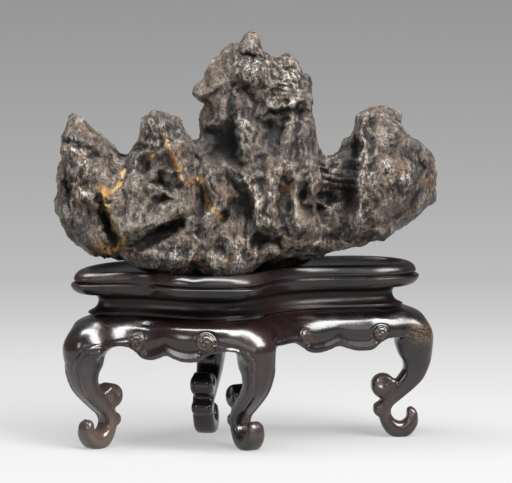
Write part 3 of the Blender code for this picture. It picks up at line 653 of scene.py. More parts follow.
plateProfile = [      # (outside the outline, height) from the underside up, round the rim, to the seat
    (-5.5, 60.6), (-3.2, 60.6), (-2.4, 60.75), (-1.5, 61.3), (-0.8, 62.1), (-0.3, 63.1), (-0.05, 64.0),
    (0.0, 64.6), (-0.15, 65.05), (-0.75, 65.2), (-1.2, 65.25), (-1.3, 65.5), (-1.05, 65.8),
    (-0.75, 66.4), (-0.7, 67.0), (-0.85, 67.8), (-1.15, 68.6), (-1.7, 69.35), (-2.3, 69.85),
    (-3.0, 70.15), (-3.6, 70.2), (-4.2, 70.05), (-4.7, 69.6), (-5.05, 69.1), (-5.4, 68.8), (-5.8, 68.7),
]
waistProfile = [      # the same for the waist, from its foot up
    (-6.4, 52.6), (-4.9, 52.6), (-4.6, 52.65), (-4.5, 52.95), (-4.55, 53.3), (-4.8, 53.45),
    (-5.0, 53.5), (-5.1, 53.75), (-5.6, 54.1), (-6.3, 54.7), (-6.95, 55.5), (-7.35, 56.5),
    (-7.5, 57.5), (-7.4, 58.4), (-7.0, 59.2), (-6.4, 59.8), (-5.8, 60.2), (-6.6, 60.3),
]
plateShape = {
    "spots": 52,               # spots along the outline that set how freely it bends
    "shift": 0.0,              # how far its outline lies to the right
    "profile": plateProfile, "rows": 78,
    "dips": [      # worn places in the rim: across, back, reach, depth
        (-31.0, -38.0, 2.6, 0.7), (-20.0, -40.5, 3.4, 0.5)],
    "wood": {"grain": (0.12, 1.0, 1.0), "wear": 0.3, "dusty": 0.15, "coat": 0.12, "dull": 0.07,
             "shine": 0.45},
}
waistShape = {
    "spots": 52, "shift": 0.3, "profile": waistProfile, "rows": 54, "dips": [],
    "wood": {"grain": (0.12, 1.0, 1.0), "wear": 0.0, "dusty": 0.1, "coat": 0.0, "dull": 0.1,
             "shine": 0.3},
}


def moulded(name, shape):
    # the profile carried all round the outline; the inner ends are closed with level faces
    family = outlineFamily(shape["spots"], shape["shift"])
    rings = []
    for distance, height in smoothCurve(shape["profile"], shape["rows"]):
        ring = familyAt(family, distance)
        level = np.full(len(ring), height)
        for across, back, reach, depth in shape["dips"]:
            gap = np.hypot(ring[:, 0] - across, ring[:, 1] - back)
            level -= depth * bell(gap, 0, reach) * smoothStep(66.5, 69.5, height)
        rings.append(np.column_stack((ring, level)))
    grid = len(rings), family.shape[1]
    mesh = meshFromArrays(name, np.concatenate(rings) + standShift, gridFaces(*grid), endCaps(*grid))
    addField(mesh, "hollow", hollowField(mesh, 40, 0.5))
    return mesh


legs = {
    "legLeft": ((-58.8, -29.7), 222, "leg_left"),
    "legFront": ((0.8, -33.4), 302, "leg_front"),
    "legRight": ((61.0, -0.2), 5, "leg_right"),
    "legBack": ((-15.8, 8.6), 77, "leg_back"),
}
legPath = [   # (outward, height, half thickness, half width) from the top down and round the foot
    (0.2, 52.0, 3.0, 5.4), (1.8, 48.0, 4.6, 6.4), (4.6, 44.2, 7.2, 7.2),
    (6.2, 40.2, 8.5, 7.2), (6.9, 35.6, 7.4, 6.6), (7.4, 30.8, 5.8, 5.8),
    (6.3, 26.0, 4.6, 5.2), (3.2, 21.9, 3.8, 4.8), (-0.9, 17.9, 3.3, 4.6),
    (-4.3, 14.4, 2.8, 4.4), (-5.3, 10.6, 2.5, 4.3), (-4.5, 6.8, 2.7, 4.3),
    (-1.8, 3.4, 3.3, 4.4), (2.2, 2.7, 3.25, 4.3), (5.2, 5.3, 2.8, 4.0),
    (5.8, 8.4, 2.3, 3.6), (5.2, 10.4, 1.8, 3.0), (4.8, 11.7, 0.8, 1.8),
]
apronEdge = [      # (share of the way from scroll to scroll, height) of the lower edge
    (-0.3, 40.6), (-0.17, 40.5), (-0.08, 39.6), (0.0, 38.1), (0.08, 36.8), (0.17, 36.15), (0.26, 36.3),
    (0.36, 37.2), (0.44, 38.3), (0.48, 38.6), (0.52, 38.4), (0.6, 37.5), (0.7, 36.7), (0.79, 36.5),
    (0.88, 36.9), (0.97, 38.3), (1.07, 39.8), (1.17, 40.5), (1.3, 40.6),
]
apronScrolls = [      # (share of the way from leg to leg, height, radius) of an apron's two scrolls
    ((0.29, 42.7, 3.3), (0.716, 44.3, 3.5)), ((0.362, 42.6, 2.9), (0.745, 43.3, 2.9)),
    ((0.28, 42.6, 3.0), (0.7, 42.6, 3.0)), ((0.3, 42.6, 3.0), (0.7, 42.6, 3.0)),
]
legLines = [          # (across, height) along fine raised lines from the apron's edge across a leg
    [(-46.5, 42.7), (-53.0, 42.3), (-60.2, 41.5), (-64.4, 39.8), (-66.4, 37.0), (-67.4, 33.6),
     (-67.6, 30.0)],
    [(-12.4, 42.9), (-5.4, 41.6), (0.6, 40.2), (3.2, 37.2), (3.8, 33.4)],
]
shoulderProfile = [   # (outside the outline, height) from the inner top edge out and down to the face
    (-10.5, 52.3), (-6.0, 52.3), (-4.7, 52.25), (-4.55, 51.9), (-4.2, 51.55), (-3.3, 51.3), (-2.4, 50.9),
    (-1.2, 50.3), (0.1, 49.4), (1.1, 48.4), (1.9, 47.2), (2.5, 45.8), (2.85, 44.3), (3.0, 42.8),
]
apronShape = {
    "spots": 66, "shift": 2.0, "shoulderRows": 34, "faceRows": 33,
    "face": 2.6,               # how far the face stands outside the outline, at its lower edge
    "kneeAhead": 12.0,         # the knees stand this far out from the feet
    "kneeInset": 0.6,          # beside a knee the face stays this far behind its front
    "kneeMost": 14.0,          # and comes forward at the most by this much
    "kneeFlat": 0.6,           # share of the leg's half width over which it stays so
    "kneeSpread": 12.0, "kneePower": 2.2,      # how far and how steeply it fades beyond the leg
    "kneeLevels": (53, 49),    # heights between which that sets in, from the top down
    "wood": {"grain": (0.12, 1.0, 1.0), "wear": 0.5, "dusty": 0.6, "coat": 0.4},
}


def legReach(height):
    # how far a leg's front stands from the foot's centre, and its half width, at each height
    line = smoothCurve(legPath[:6], 60)[::-1]
    front = np.interp(height, line[:, 1], line[:, 0] + line[:, 2])
    wide = np.interp(height, line[:, 1], line[:, 3])
    return front, wide


def legAxes(heading):
    # level directions outward and across, for a leg that faces the given way in degrees
    turn = math.radians(heading)
    return np.array((math.cos(turn), math.sin(turn))), np.array((-math.sin(turn), math.cos(turn)))


def legPlace(points, foot, heading):
    # outward and sideways distance from a leg's foot
    outWay, acrossWay = legAxes(heading)
    there = points[:, :2] - np.array(foot)
    return there @ outWay, there @ acrossWay


def apronPlan(family):
    # lower edge height and the scrolls' places by distance travelled round the outline
    outline = familyAt(family, 0.0)
    steps = np.linalg.norm(np.roll(outline, -1, axis=0) - outline, axis=1)
    travel = np.concatenate(([0.0], np.cumsum(steps)[:-1]))
    lap = steps.sum()
    ahead = apronShape["kneeAhead"]
    knees = [np.array(foot) + ahead * legAxes(heading)[0] for foot, heading, _ in legs.values()]
    stations = np.sort([travel[np.argmin(np.linalg.norm(outline - knee, axis=1))] for knee in knees])
    edge, nearLeg = np.zeros(len(travel)), np.full(len(travel), 99.0)
    scrolls = []
    line = smoothCurve(apronEdge, 200)
    for start, end, (first, second) in zip(stations, np.roll(stations, -1), apronScrolls):
        span = (end - start) % lap
        along = (travel - start) % lap
        inside = along < span
        place = (along[inside] / span - first[0]) / (second[0] - first[0])
        edge[inside] = np.interp(place, line[:, 0], line[:, 1])
        nearLeg = np.minimum(nearLeg, np.minimum(along, lap - along))
        for (share, height, radius), hand in ((first, 1.0), (second, -1.0)):
            scrolls.append(((start + share * span) % lap, height, radius, hand))
    # beside each leg the edge comes down in a quarter round, 4.6 wide and 5 tall
    fillet = np.clip(1 - (nearLeg - 6.4) / 4.6, 0, 1)
    edge -= 5.0 * (1 - np.sqrt(np.clip(1 - fillet ** 2, 0, 1)))
    return {"outline": outline, "travel": travel, "lap": lap, "edge": edge, "scrolls": scrolls}


def apronRing(family, plan):
    # rows run from the inner top over the shoulder, down the face, under the edge and up inside
    edge, face = plan["edge"], apronShape["face"]
    topOut, topHeight = shoulderProfile[-1]
    rows = [tuple(row) for row in smoothCurve(shoulderProfile, apronShape["shoulderRows"])]
    for t in np.linspace(0, 1, apronShape["faceRows"] + 1)[1:]:
        rows.append((topOut + (face - topOut) * t, topHeight + (edge + 0.5 - topHeight) * t))
    for angle in np.linspace(0, math.pi, 9)[1:-1]:
        rows.append((face - 0.7 + 0.7 * math.cos(angle), edge + 0.5 - 0.5 * math.sin(angle)))
    swelling = len(rows) - 4      # the rows before this one sweep out to the knees
    rows += [(-1.2, edge + 0.6), (-2.0, 42.8), (-3.0, 45.0), (-6.0, 45.4), (-9.0, 46.0), (-10.2, 47.2),
             (-10.5, 48.5)]
    ways = outwardWays(plan["outline"], 60)
    rings = []
    for number, (distance, height) in enumerate(rows):
        ring, height = familyAt(family, distance), np.broadcast_to(height, len(edge))
        lift = kneeSwell(ring, height) if number < swelling else np.zeros(len(edge))
        rings.append(np.column_stack((ring + ways * lift[:, None], height)))
    quads = gridFaces(len(rows), len(edge), closedRows=True)
    return meshFromArrays("ring", np.concatenate(rings), quads)


def kneeSwell(ring, height):
    # beside each leg the apron sweeps out to meet the knee: the knee's reach, fading with distance
    s = apronShape
    lift = np.zeros(len(ring))
    front, wide = legReach(height)
    for foot, heading, _ in legs.values():
        out, across = legPlace(ring, foot, heading)
        middle = np.argmin(np.abs(across) + 99 * (out < -20))      # not on the ring's far side
        away = np.linalg.norm(ring - ring[middle], axis=1)
        proud = np.clip(front - s["kneeInset"] - out[middle], 0, s["kneeMost"])
        flat = s["kneeFlat"] * wide
        fade = np.clip((away - flat) / (wide - flat + s["kneeSpread"]), 0, 1)
        sweep = proud * (1 - fade) ** s["kneePower"]
        lift = np.maximum(lift, sweep * smoothStep(*s["kneeLevels"], height))
    return lift


def apronRelief(points, column, plan, offLeg):
    # a bead just above the lower edge and a spiral at each scroll; the face between them dips
    travel, edge, lap = plan["travel"][column], plan["edge"][column], plan["lap"]
    height = points[:, 2]
    aboveEdge = height - edge
    between, dusty = np.zeros((2, len(points)))
    for (first, *_), (second, *_) in zip(plan["scrolls"][::2], plan["scrolls"][1::2]):
        span = (second - first) % lap
        inside = (travel - first) % lap
        share = smoothStep(-0.5, 2.0, inside) * smoothStep(span + 0.5, span - 2.0, inside)
        between = np.maximum(between, share * (inside < span + 3))
    bead = 0.42 * bell(aboveEdge, 0.9, 0.42) - 0.34 * bell(aboveEdge, 1.85, 0.5)
    lift = bead * (1 - between) * offLeg * smoothStep(38.0, 39.6, height)
    lift += between * (0.5 * smoothStep(3.4, 0.5, aboveEdge) - 0.55 * bell(aboveEdge, 4.8, 2.2))
    for spot, level, radius, hand in plan["scrolls"]:
        x = ((travel - spot + lap / 2) % lap - lap / 2) * hand
        z = height - level
        away = np.hypot(x, z)
        spiral = away / (radius * 0.42) - np.arctan2(z, x) / (2 * math.pi)
        ridge = 0.5 + 0.5 * np.cos(2 * math.pi * spiral)
        dome = smoothStep(radius * 1.12, radius * 0.84, away)
        groove = 0.2 * bell(away, radius * 1.24, 0.55)
        lift = lift * (1 - dome) + dome * (0.6 + 0.62 * ridge) - groove
        dusty = np.maximum(dusty, dome * (0.35 + 0.65 * (1 - ridge)))
    return lift, dusty


legShape = {
    "stations": 170, "sides": 72,
    "fullness": 3.2,                          # 2 is an ellipse, more is squarer
    "cornerRidge": 0.05,
    "skin": 0.45, "easePasses": 90,
    "jointHalf": 8.2, "jointBack": 4.0,       # the joint's side planes and its back
    "jointLow": 44.5,                         # below this level the joint goes through to the back
    "jointMiddle": (8.0, 47.0),               # outward and height of the point inside it
    "kneeScroll": (-5.9, 20.5, 4.9, 4.8),     # outward, height, radius, half width
    "scrollCup": (-6.6, 22.6, 2.4, 0.9),      # outward, height, radius, depth on each side
    "ankleBead": (-7.0, 11.0, 3.0, 4.3),
    "crease": (-2.5, 21.5, 2.0, 4.6),         # fills the sharp corner between the scroll and the leg
    "wood": {"grain": (1.0, 1.0, 0.15), "wear": 0.5, "dusty": 0.6, "coat": 0.4},
    "footWear": {"legLeft": 1.0, "legFront": 0.15, "legRight": 0.15, "legBack": 0.15},
}


def sweptLeg(path, fullness, ridge):
    # full rounded sections square to the leg's line, a fine raised edge along both front corners
    line = smoothCurve(path, legShape["stations"])
    tangent = unit(np.gradient(line[:, :2], axis=0))
    side = np.stack((-tangent[:, 1], tangent[:, 0]), axis=1)        # towards the leg's front
    angle = np.linspace(0, 2 * math.pi, legShape["sides"], endpoint=False)
    power = 2.0 / fullness
    size = 1 + ridge * (bell(angle, 0.8, 0.07) + bell(angle, 2 * math.pi - 0.8, 0.07))
    thick = size * np.sign(np.cos(angle)) * np.abs(np.cos(angle)) ** power * line[:, 2:3]
    wide = size * np.sign(np.sin(angle)) * np.abs(np.sin(angle)) ** power * line[:, 3:4]
    out = line[:, 0:1] + side[:, 0:1] * thick
    up = line[:, 1:2] + side[:, 1:2] * thick
    return np.stack((out, wide, up), axis=-1).reshape(-1, 3)


def roundBar(centre, radius, halfWide, sides=40):
    # a bar lying across the leg, its ends rounded over; ends holds (inward from the end, size)
    ends = [(0.0, 0.02), (0.0, 0.5 * radius), (0.5, 0.78 * radius), (1.4, 0.95 * radius), (2.4, radius)]
    rounds = [(inward - halfWide, size) for inward, size in ends]
    rounds += [(halfWide - inward, size) for inward, size in reversed(ends)]
    angle = np.linspace(0, 2 * math.pi, sides, endpoint=False)
    circle = np.stack((np.cos(angle), np.zeros(sides), np.sin(angle)), axis=1)
    rings = [circle * size + (centre[0], across, centre[1]) for across, size in rounds]
    return np.concatenate(rings), gridFaces(len(rounds), sides), endCaps(len(rounds), sides)


def legRelief(points, normals):
    # along both front corners of every leg runs a fine bead with a groove inside it
    lift = np.zeros(len(points))
    line = smoothCurve(legPath[:13], 90)[::-1]
    wide = np.interp(points[:, 2], line[:, 1], line[:, 3])
    for foot, heading, _ in legs.values():
        out, across = legPlace(points, foot, heading)
        facing = normals[:, :2] @ legAxes(heading)[0]
        inset = wide - np.abs(across)
        bead = 0.36 * bell(inset, 0.95, 0.42) - 0.26 * bell(inset, 2.0, 0.5)
        here = (np.abs(across) < 9) & (out > -9) & (out < 20)
        lift += bead * np.clip(facing * 2.5, 0, 1) * here
    return lift * smoothStep(36, 30, points[:, 2]) * smoothStep(9, 14, points[:, 2])


def legShells(foot, heading):
    # the swept leg with its knee scroll, ankle bead and filled crease, turned and moved to its place
    s = legShape
    grid = s["stations"], s["sides"]
    solids = [(sweptLeg(legPath, s["fullness"], s["cornerRidge"]), gridFaces(*grid), endCaps(*grid))]
    for out, up, radius, halfWide in (s["kneeScroll"], s["ankleBead"], s["crease"]):
        solids.append(roundBar((out, up), radius, halfWide))
    outWay, acrossWay = legAxes(heading)
    turned = np.array(((*outWay, 0), (*acrossWay, 0), (0, 0, 1)))
    return [meshFromArrays("leg", points @ turned + (*foot, 0.0), quads, caps)
            for points, quads, caps in solids]


def cupScrolls(points):
    # hollows both sides of each knee's scroll, in place; gives back where dust settles
    cupOut, cupUp, radius, depth = legShape["scrollCup"]
    dust = np.zeros(len(points))
    for foot, heading, node in legs.values():
        out, across = legPlace(points, foot, heading)
        away = np.hypot(out - cupOut, points[:, 2] - cupUp) / radius
        sideOn = smoothStep(2.2, 3.6, np.abs(across)) * (np.abs(across) < 12)
        cup = depth * np.clip(1 - away ** 2, 0, 1) ** 0.7 * sideOn * np.sign(across)
        points[:, :2] -= cup[:, None] * legAxes(heading)[1]
        dust = np.maximum(dust, np.clip(1 - away, 0, 1) * sideOn)
        if node == "leg_right":
            kneeHigh = smoothStep(36, 39.5, points[:, 2]) * smoothStep(48.5, 44.5, points[:, 2])
            dust = np.maximum(dust, (np.abs(across) < 9) * smoothStep(1, 7, out) * kneeHigh)
    return dust


def carvedFrame():
    # the apron ring and the legs under one skin, eased where they meet, then carved
    family = outlineFamily(apronShape["spots"], apronShape["shift"])
    plan = apronPlan(family)
    shells = [apronRing(family, plan)]
    for foot, heading, _ in legs.values():
        shells += legShells(foot, heading)
    mesh = reskinned(joined(shells), legShape["skin"])
    edges = readEdges(mesh)
    points = averaged(readPoints(mesh), edges, 3, 0.6)
    _, wide = legReach(points[:, 2])
    offLeg, joint = np.ones(len(points)), np.zeros(len(points))
    for foot, heading, _ in legs.values():
        out, across = legPlace(points, foot, heading)
        beside = np.abs(across) - wide
        close = smoothStep(-12, -6, out) * (out < 20)
        offLeg *= 1 - close * smoothStep(2.5, 0.0, beside)
        meeting = close * smoothStep(8.0, 2.0, beside) * smoothStep(33, 39, points[:, 2])
        joint = np.maximum(joint, meeting)
    points += joint[:, None] * (averaged(points, edges, legShape["easePasses"]) - points)
    dust = cupScrolls(points)
    points[:, 2] = np.maximum(points[:, 2], 0.0)
    writePoints(mesh, points)
    outward(mesh)
    normals = readNormals(mesh)
    points += normals * legRelief(points, normals)[:, None]

    high = np.nonzero((points[:, 2] > 33) & (points[:, 2] < 51))[0]
    there, ways = points[high], normals[high]
    column = nearestColumn(there, plan["outline"])
    outer = (ways[:, :2] * outwardWays(plan["outline"], 30)[column]).sum(axis=1)
    outer = smoothStep(-0.1, 0.35, outer)        # not on the inside of the ring
    lift, dusty = apronRelief(there, column, plan, offLeg[high])
    for line in legLines:
        gap = routeGap(there, line)
        rib = 0.4 * bell(gap, 0, 0.42) - 0.22 * bell(gap, 1.05, 0.4)
        lift += rib * np.clip(-2 * ways[:, 1], 0, 1)
    points[high] += ways * (lift * outer)[:, None]
    dust[high] = np.maximum(dust[high], dusty * outer)
    writePoints(mesh, points)
    addField(mesh, "dust", dust)
    addField(mesh, "hollow", hollowField(mesh, 24, 0.45))
    writePoints(mesh, points + standShift)
    return mesh


def cutOut(mesh, name, keep, middle):
    # the chosen faces as a piece of their own, closed inside by a fan from its border to a point
    shape = bmesh.new()
    shape.from_mesh(mesh)
    shape.faces.ensure_lookup_table()
    bmesh.ops.delete(shape, geom=[shape.faces[k] for k in np.nonzero(~keep)[0]], context="FACES")
    border = [edge for edge in shape.edges if edge.is_boundary]
    centres = {}
    for edge in border:
        spot = middle(edge.verts[0].co)
        centre = centres.get(spot) or centres.setdefault(spot, shape.verts.new(spot))
        shape.faces.new((edge.verts[1], edge.verts[0], centre))
    bmesh.ops.recalc_face_normals(shape, faces=shape.faces[:])
    piece = bpy.data.meshes.new(name)
    shape.to_mesh(piece)
    shape.free()
    parts = np.empty((3, len(piece.vertices)), dtype=np.float32)
    for k, axis in enumerate(("leanX", "leanY", "leanZ")):
        piece.attributes[axis].data.foreach_get("value", parts[k])
        piece.attributes.remove(piece.attributes[axis])
    parts[2, np.abs(parts).sum(axis=0) < 0.5] = 1.0
    piece.normals_split_custom_set_from_vertices(parts.T.tolist())
    return piece


def splitFrame(mesh):
    # joints where the real ones are: square to each side of a leg and behind its knee; the unbroken
    # skin's own normals go along, so that the joints don't show
    s = legShape
    for axis, values in zip(("leanX", "leanY", "leanZ"), readNormals(mesh).T):
        addField(mesh, axis, values)
    corners = np.empty(len(mesh.loops), dtype=np.int64)
    mesh.loops.foreach_get("vertex_index", corners)
    points = readPoints(mesh) - standShift
    centres = points[corners.reshape(-1, 4)].mean(axis=1)
    owner = np.full(len(centres), -1)
    spots = []
    ahead, level = s["jointMiddle"]
    for number, (foot, heading, _) in enumerate(legs.values()):
        out, across = legPlace(centres, foot, heading)
        near = (np.abs(across) < s["jointHalf"]) & (out > -16) & (out < 22)
        owner[near & ((out > s["jointBack"]) | (centres[:, 2] < s["jointLow"]))] = number
        inKnee = np.array(foot) + ahead * legAxes(heading)[0]
        spots.append(tuple((np.array((*inKnee, level)) + standShift) * mm))

    def nearest(place):
        return min(spots, key=lambda spot: (spot[0] - place[0]) ** 2 + (spot[1] - place[1]) ** 2)

    pieces = {"apronFrame": cutOut(mesh, "apronFrame", owner == -1, nearest)}
    for number, name in enumerate(legs):
        pieces[name] = cutOut(mesh, name, owner == number, nearest)
    return pieces


class Finish:
    # one material's shader nodes; every socket takes a value or the output of another node
    def __init__(self, name):
        self.material = bpy.data.materials.new(name)
        self.material.use_nodes = True
        self.tree = self.material.node_tree
        self.shader = self.tree.nodes["Principled BSDF"]
        self.place = self.add("TexCoord").outputs["Object"]

    def fill(self, node, sockets):
        # a constant goes on the socket itself, an output is joined to it
        for key, value in sockets.items():
            if isinstance(value, bpy.types.NodeSocket):
                self.tree.links.new(value, node.inputs[key])
            else:
                node.inputs[key].default_value = value

    def add(self, kind, sockets=(), **settings):
        # a shader node with its settings, and its sockets filled
        node = self.tree.nodes.new("ShaderNode" + kind)
        for key, value in settings.items():
            setattr(node, key, value)
        self.fill(node, dict(sockets))
        return node

    def stretched(self, scale):
        # the place in the object with each axis multiplied by its scale
        return self.add("Mapping", {"Vector": self.place, "Scale": scale}).outputs["Vector"]

    def noise(self, place, scale, detail, rough=0.6):
        # layered noise, scale bumps to the metre at its coarsest
        sockets = {"Vector": place, "Scale": scale, "Detail": detail, "Roughness": rough}
        return self.add("TexNoise", sockets).outputs["Fac"]

    def field(self, name):
        # what addField put on the mesh
        return self.add("Attribute", attribute_name=name).outputs["Fac"]

    def maths(self, operation, *values, clamp=False):
        # one sum on the values in order; clamp holds the answer from 0 to 1
        node = self.add("Math", operation=operation, use_clamp=clamp)
        self.fill(node, dict(enumerate(values)))
        return node.outputs[0]

    def times(self, *values):
        # all of them multiplied together, from left to right
        product = values[0]
        for value in values[1:]:
            product = self.maths("MULTIPLY", product, value)
        return product

    def spread(self, value, low, high, newLow=0.0, newHigh=1.0):
        # low to high stretched to newLow to newHigh, and held there outside them
        sockets = {"Value": value, "From Min": low, "From Max": high, "To Min": newLow, "To Max": newHigh}
        return self.add("MapRange", sockets).outputs["Result"]

    def mix(self, share, first, second):
        # the first colour with a share of the second laid over it
        node = self.add("Mix", data_type="RGBA")
        colours = [(*colour, 1.0) if isinstance(colour, tuple) else colour for colour in (first, second)]
        self.fill(node, {0: share, 6: colours[0], 7: colours[1]})
        return node.outputs[2]

    def bump(self, height, strength, distance, under=None, inward=False):
        # the normal tilted as if the height stood out by distance, over the bumps under it
        sockets = {"Height": height, "Strength": strength, "Distance": distance}
        if under:
            sockets["Normal"] = under
        return self.add("Bump", sockets, invert=inward).outputs["Normal"]

    def finished(self, **sockets):
        # the shader's own sockets, named in camel case
        names = {socket.name.replace(" ", "").lower(): socket.name for socket in self.shader.inputs}
        self.fill(self.shader, {names[key.lower()]: value for key, value in sockets.items()})
        return self.material


stoneFinish = {
    "dark": (0.0160, 0.0120, 0.0090), "mid": (0.110, 0.087, 0.066), "light": (0.37, 0.325, 0.265),
    "brown": (0.100, 0.066, 0.046), "violet": (0.042, 0.034, 0.034), "gold": (0.34, 0.145, 0.022),
    "straw": (0.46, 0.32, 0.14), "rust": (0.12, 0.052, 0.014), "pale": (0.19, 0.16, 0.125),
    "crevice": (0.0013, 0.0011, 0.0010), "glint": (0.39, 0.37, 0.34),
    "stretch": (1.0, 1.0, 0.45),      # the grain runs upright
    "specular": 0.42,
}


def stoneMaterial():
    # charcoal stone: worn lighter on its crests, with a painted highlight there too; painted shade black
    # in its hollows; painted light and shade by area; painted glints; veined, with a handled gloss
    c, m = stoneFinish, Finish("dark veined stone")
    upright = m.stretched(c["stretch"])
    hollow, deep, spark, tone = (m.field(name) for name in ("hollow", "deep", "spark", "tone"))
    mottle, fine = m.noise(upright, 210, 5, 0.7), m.noise(upright, 620, 5, 0.75)

    # mottled ground with brown and violet areas
    colour = m.mix(m.spread(mottle, 0.4, 0.62), c["dark"], c["mid"])
    colour = m.mix(m.spread(m.noise(m.place, 65, 3), 0.44, 0.6, 0.0, 0.75), colour, c["brown"])
    colour = m.mix(m.spread(m.noise(m.place, 48, 2), 0.55, 0.66, 0.0, 0.7), colour, c["violet"])

    # crests and ridges worn light in patches, partly wear and partly a painted highlight where they catch
    # the light; proud faces painted lighter as lit; the calm faces stay brown
    patches = m.spread(m.noise(m.place, 120, 3), 0.42, 0.6, 0.05, 0.9)
    crests = m.times(m.spread(hollow, 0.2, -0.7, 0.0, 0.8), m.spread(fine, 0.5, 0.6), patches,
                     m.spread(deep, 0.3, -0.4, 0.4, 1.0))
    worn = m.maths("MAXIMUM", crests, m.times(m.field("proud"), m.spread(fine, 0.5, 0.58)))
    colour = m.mix(worn, colour, c["light"])
    colour = m.mix(m.times(m.field("calm"), 0.6), colour, c["brown"])

    # painted glints: light strokes along crooked cell borders of two sizes, most where the stone glitters
    wander = m.add("TexNoise", {"Vector": m.place, "Scale": 240.0, "Detail": 2.0}).outputs["Color"]
    sockets = {0: wander, 1: (0.0035, 0.0035, 0.0035), 2: upright}
    crooked = m.add("VectorMath", sockets, operation="MULTIPLY_ADD").outputs["Vector"]
    bowls, chips = (m.add("TexVoronoi", {"Vector": crooked, "Scale": scale},
                          feature="DISTANCE_TO_EDGE").outputs["Distance"] for scale in (300.0, 720.0))
    paintedGlintStrokes = m.maths("MAXIMUM", m.spread(bowls, 0.05, 0.02), m.times(m.spread(chips, 0.10, 0.05), 0.7))
    paintedGlintStrokes = m.times(paintedGlintStrokes, m.spread(mottle, 0.46, 0.58, 0.03, 0.8),
                      m.spread(hollow, 0.35, -0.45, 0.15, 1.0))
    paintedGlintStrokes = m.maths("MULTIPLY", paintedGlintStrokes, m.maths("MULTIPLY_ADD", spark, 1.3, 0.5), clamp=True)
    colour = m.mix(paintedGlintStrokes, colour, c["glint"])

    # painted shade: hollows and deep bays painted nearly black, where shade falls in them; the pores are
    # the stone's own near-black
    paintedShadeMask = m.maths("MAXIMUM", m.spread(hollow, 0.05, 0.6), m.spread(deep, 0.15, 0.85))
    colour = m.mix(m.times(paintedShadeMask, 0.93), colour, c["crevice"])
    morePores = m.times(spark, m.spread(fine, 0.48, 0.42))
    pores = m.maths("ADD", m.spread(fine, 0.45, 0.38), morePores, clamp=True)
    colour = m.mix(m.times(pores, 0.9), colour, c["crevice"])

    # rust, pale and gold veins; then the areas of painted light and painted shade
    speckle = m.spread(fine, 0.4, 0.56)
    colour = m.mix(m.times(m.field("rust"), m.times(speckle, 0.75)), colour, c["rust"])
    colour = m.mix(m.times(m.field("pale"), m.times(speckle, 0.7)), colour, c["pale"])
    goldTone = m.mix(m.spread(mottle, 0.4, 0.6), c["gold"], c["straw"])
    colour = m.mix(m.times(m.field("gold"), m.spread(fine, 0.42, 0.52)), colour, goldTone)
    sockets = {0: colour, "Scale": m.maths("POWER", 2.0, tone)}
    colour = m.add("VectorMath", sockets, operation="SCALE").outputs["Vector"]

    # polished by hands, duller in the hollows and in the dark areas
    gloss = m.spread(m.noise(m.place, 330, 4, 0.7), 0.4, 0.62, 0.07, 0.33)
    gloss = m.maths("ADD", gloss, m.times(paintedShadeMask, 0.35), clamp=True)
    gloss = m.maths("ADD", gloss, m.spread(tone, 0.0, -2.0, 0.0, 0.4), clamp=True)
    bump = m.bump(bowls, 1.0, 0.0013, inward=True)
    bump = m.bump(chips, 1.0, 0.0008, bump, inward=True)
    bump = m.bump(m.noise(upright, 700, 6, 0.8), 1.0, 0.0012, bump)
    return m.finished(baseColor=colour, roughness=gloss, specularIorLevel=c["specular"], normal=bump)


woodFinish = {
    "dark": (0.0020, 0.0012, 0.0016), "red": (0.0118, 0.0034, 0.0040), "worn": (0.048, 0.033, 0.032),
    "foot": (0.080, 0.054, 0.045), "dust": (0.125, 0.074, 0.030), "veil": (0.034, 0.0265, 0.029),
    "coatRoughness": 0.13,
}


def woodMaterial(name, grain, wear, dusty, coat, dull=0.0, shine=0.5, footWear=0.0):
    # near-black polished hardwood: fine long pores, reddish where it thins, dust in the recesses;
    # grain shrinks the pattern's pitch along each axis, so that the pores run the long way
    c, m = woodFinish, Finish(name)
    grained = m.stretched(grain)
    pores, bands = m.noise(grained, 900, 4, 0.65), m.noise(grained, 90, 3, 0.55)
    patches = m.noise(m.place, 45, 3)
    hollow = m.field("hollow")
    level = m.add("SeparateXYZ", {"Vector": m.place}).outputs["Z"]

    reddish = m.maths("ADD", m.times(bands, 0.6), m.times(patches, 0.4))
    colour = m.mix(m.spread(reddish, 0.42, 0.66), c["dark"], c["red"])
    veil = m.times(m.spread(m.noise(m.place, 26, 2), 0.3, 0.6), m.spread(level, 0.042, 0.032))
    colour = m.mix(m.times(veil, footWear * 0.6), colour, c["veil"])
    crests = m.times(m.spread(hollow, -0.15, -0.8), m.spread(patches, 0.42, 0.6), wear)
    colour = m.mix(crests, colour, c["worn"])
    rubbed = m.times(m.spread(level, 0.030, 0.006), m.spread(patches, 0.3, 0.6, 0.55, 1.0), footWear)
    colour = m.mix(rubbed, colour, c["foot"])
    grime = m.times(m.maths("MAXIMUM", m.field("dust"), m.spread(hollow, 0.25, 1.0)),
                    m.spread(m.noise(m.place, 1100, 4, 0.7), 0.42, 0.66))
    grime = m.maths("MULTIPLY", grime, dusty, clamp=True)
    colour = m.mix(grime, colour, c["dust"])

    gloss = m.spread(m.noise(m.place, 120, 3), 0.3, 0.7, 0.17 + dull, 0.34 + dull)
    gloss = m.maths("ADD", gloss, m.times(grime, 0.5), clamp=True)
    handCut = m.bump(m.noise(m.place, 160, 2), 0.07, 0.0012)
    return m.finished(baseColor=colour, roughness=gloss, specularIorLevel=shine, coatWeight=coat,
                      coatRoughness=c["coatRoughness"], coatNormal=handCut,
                      normal=m.bump(pores, 0.10, 0.0003, handCut))


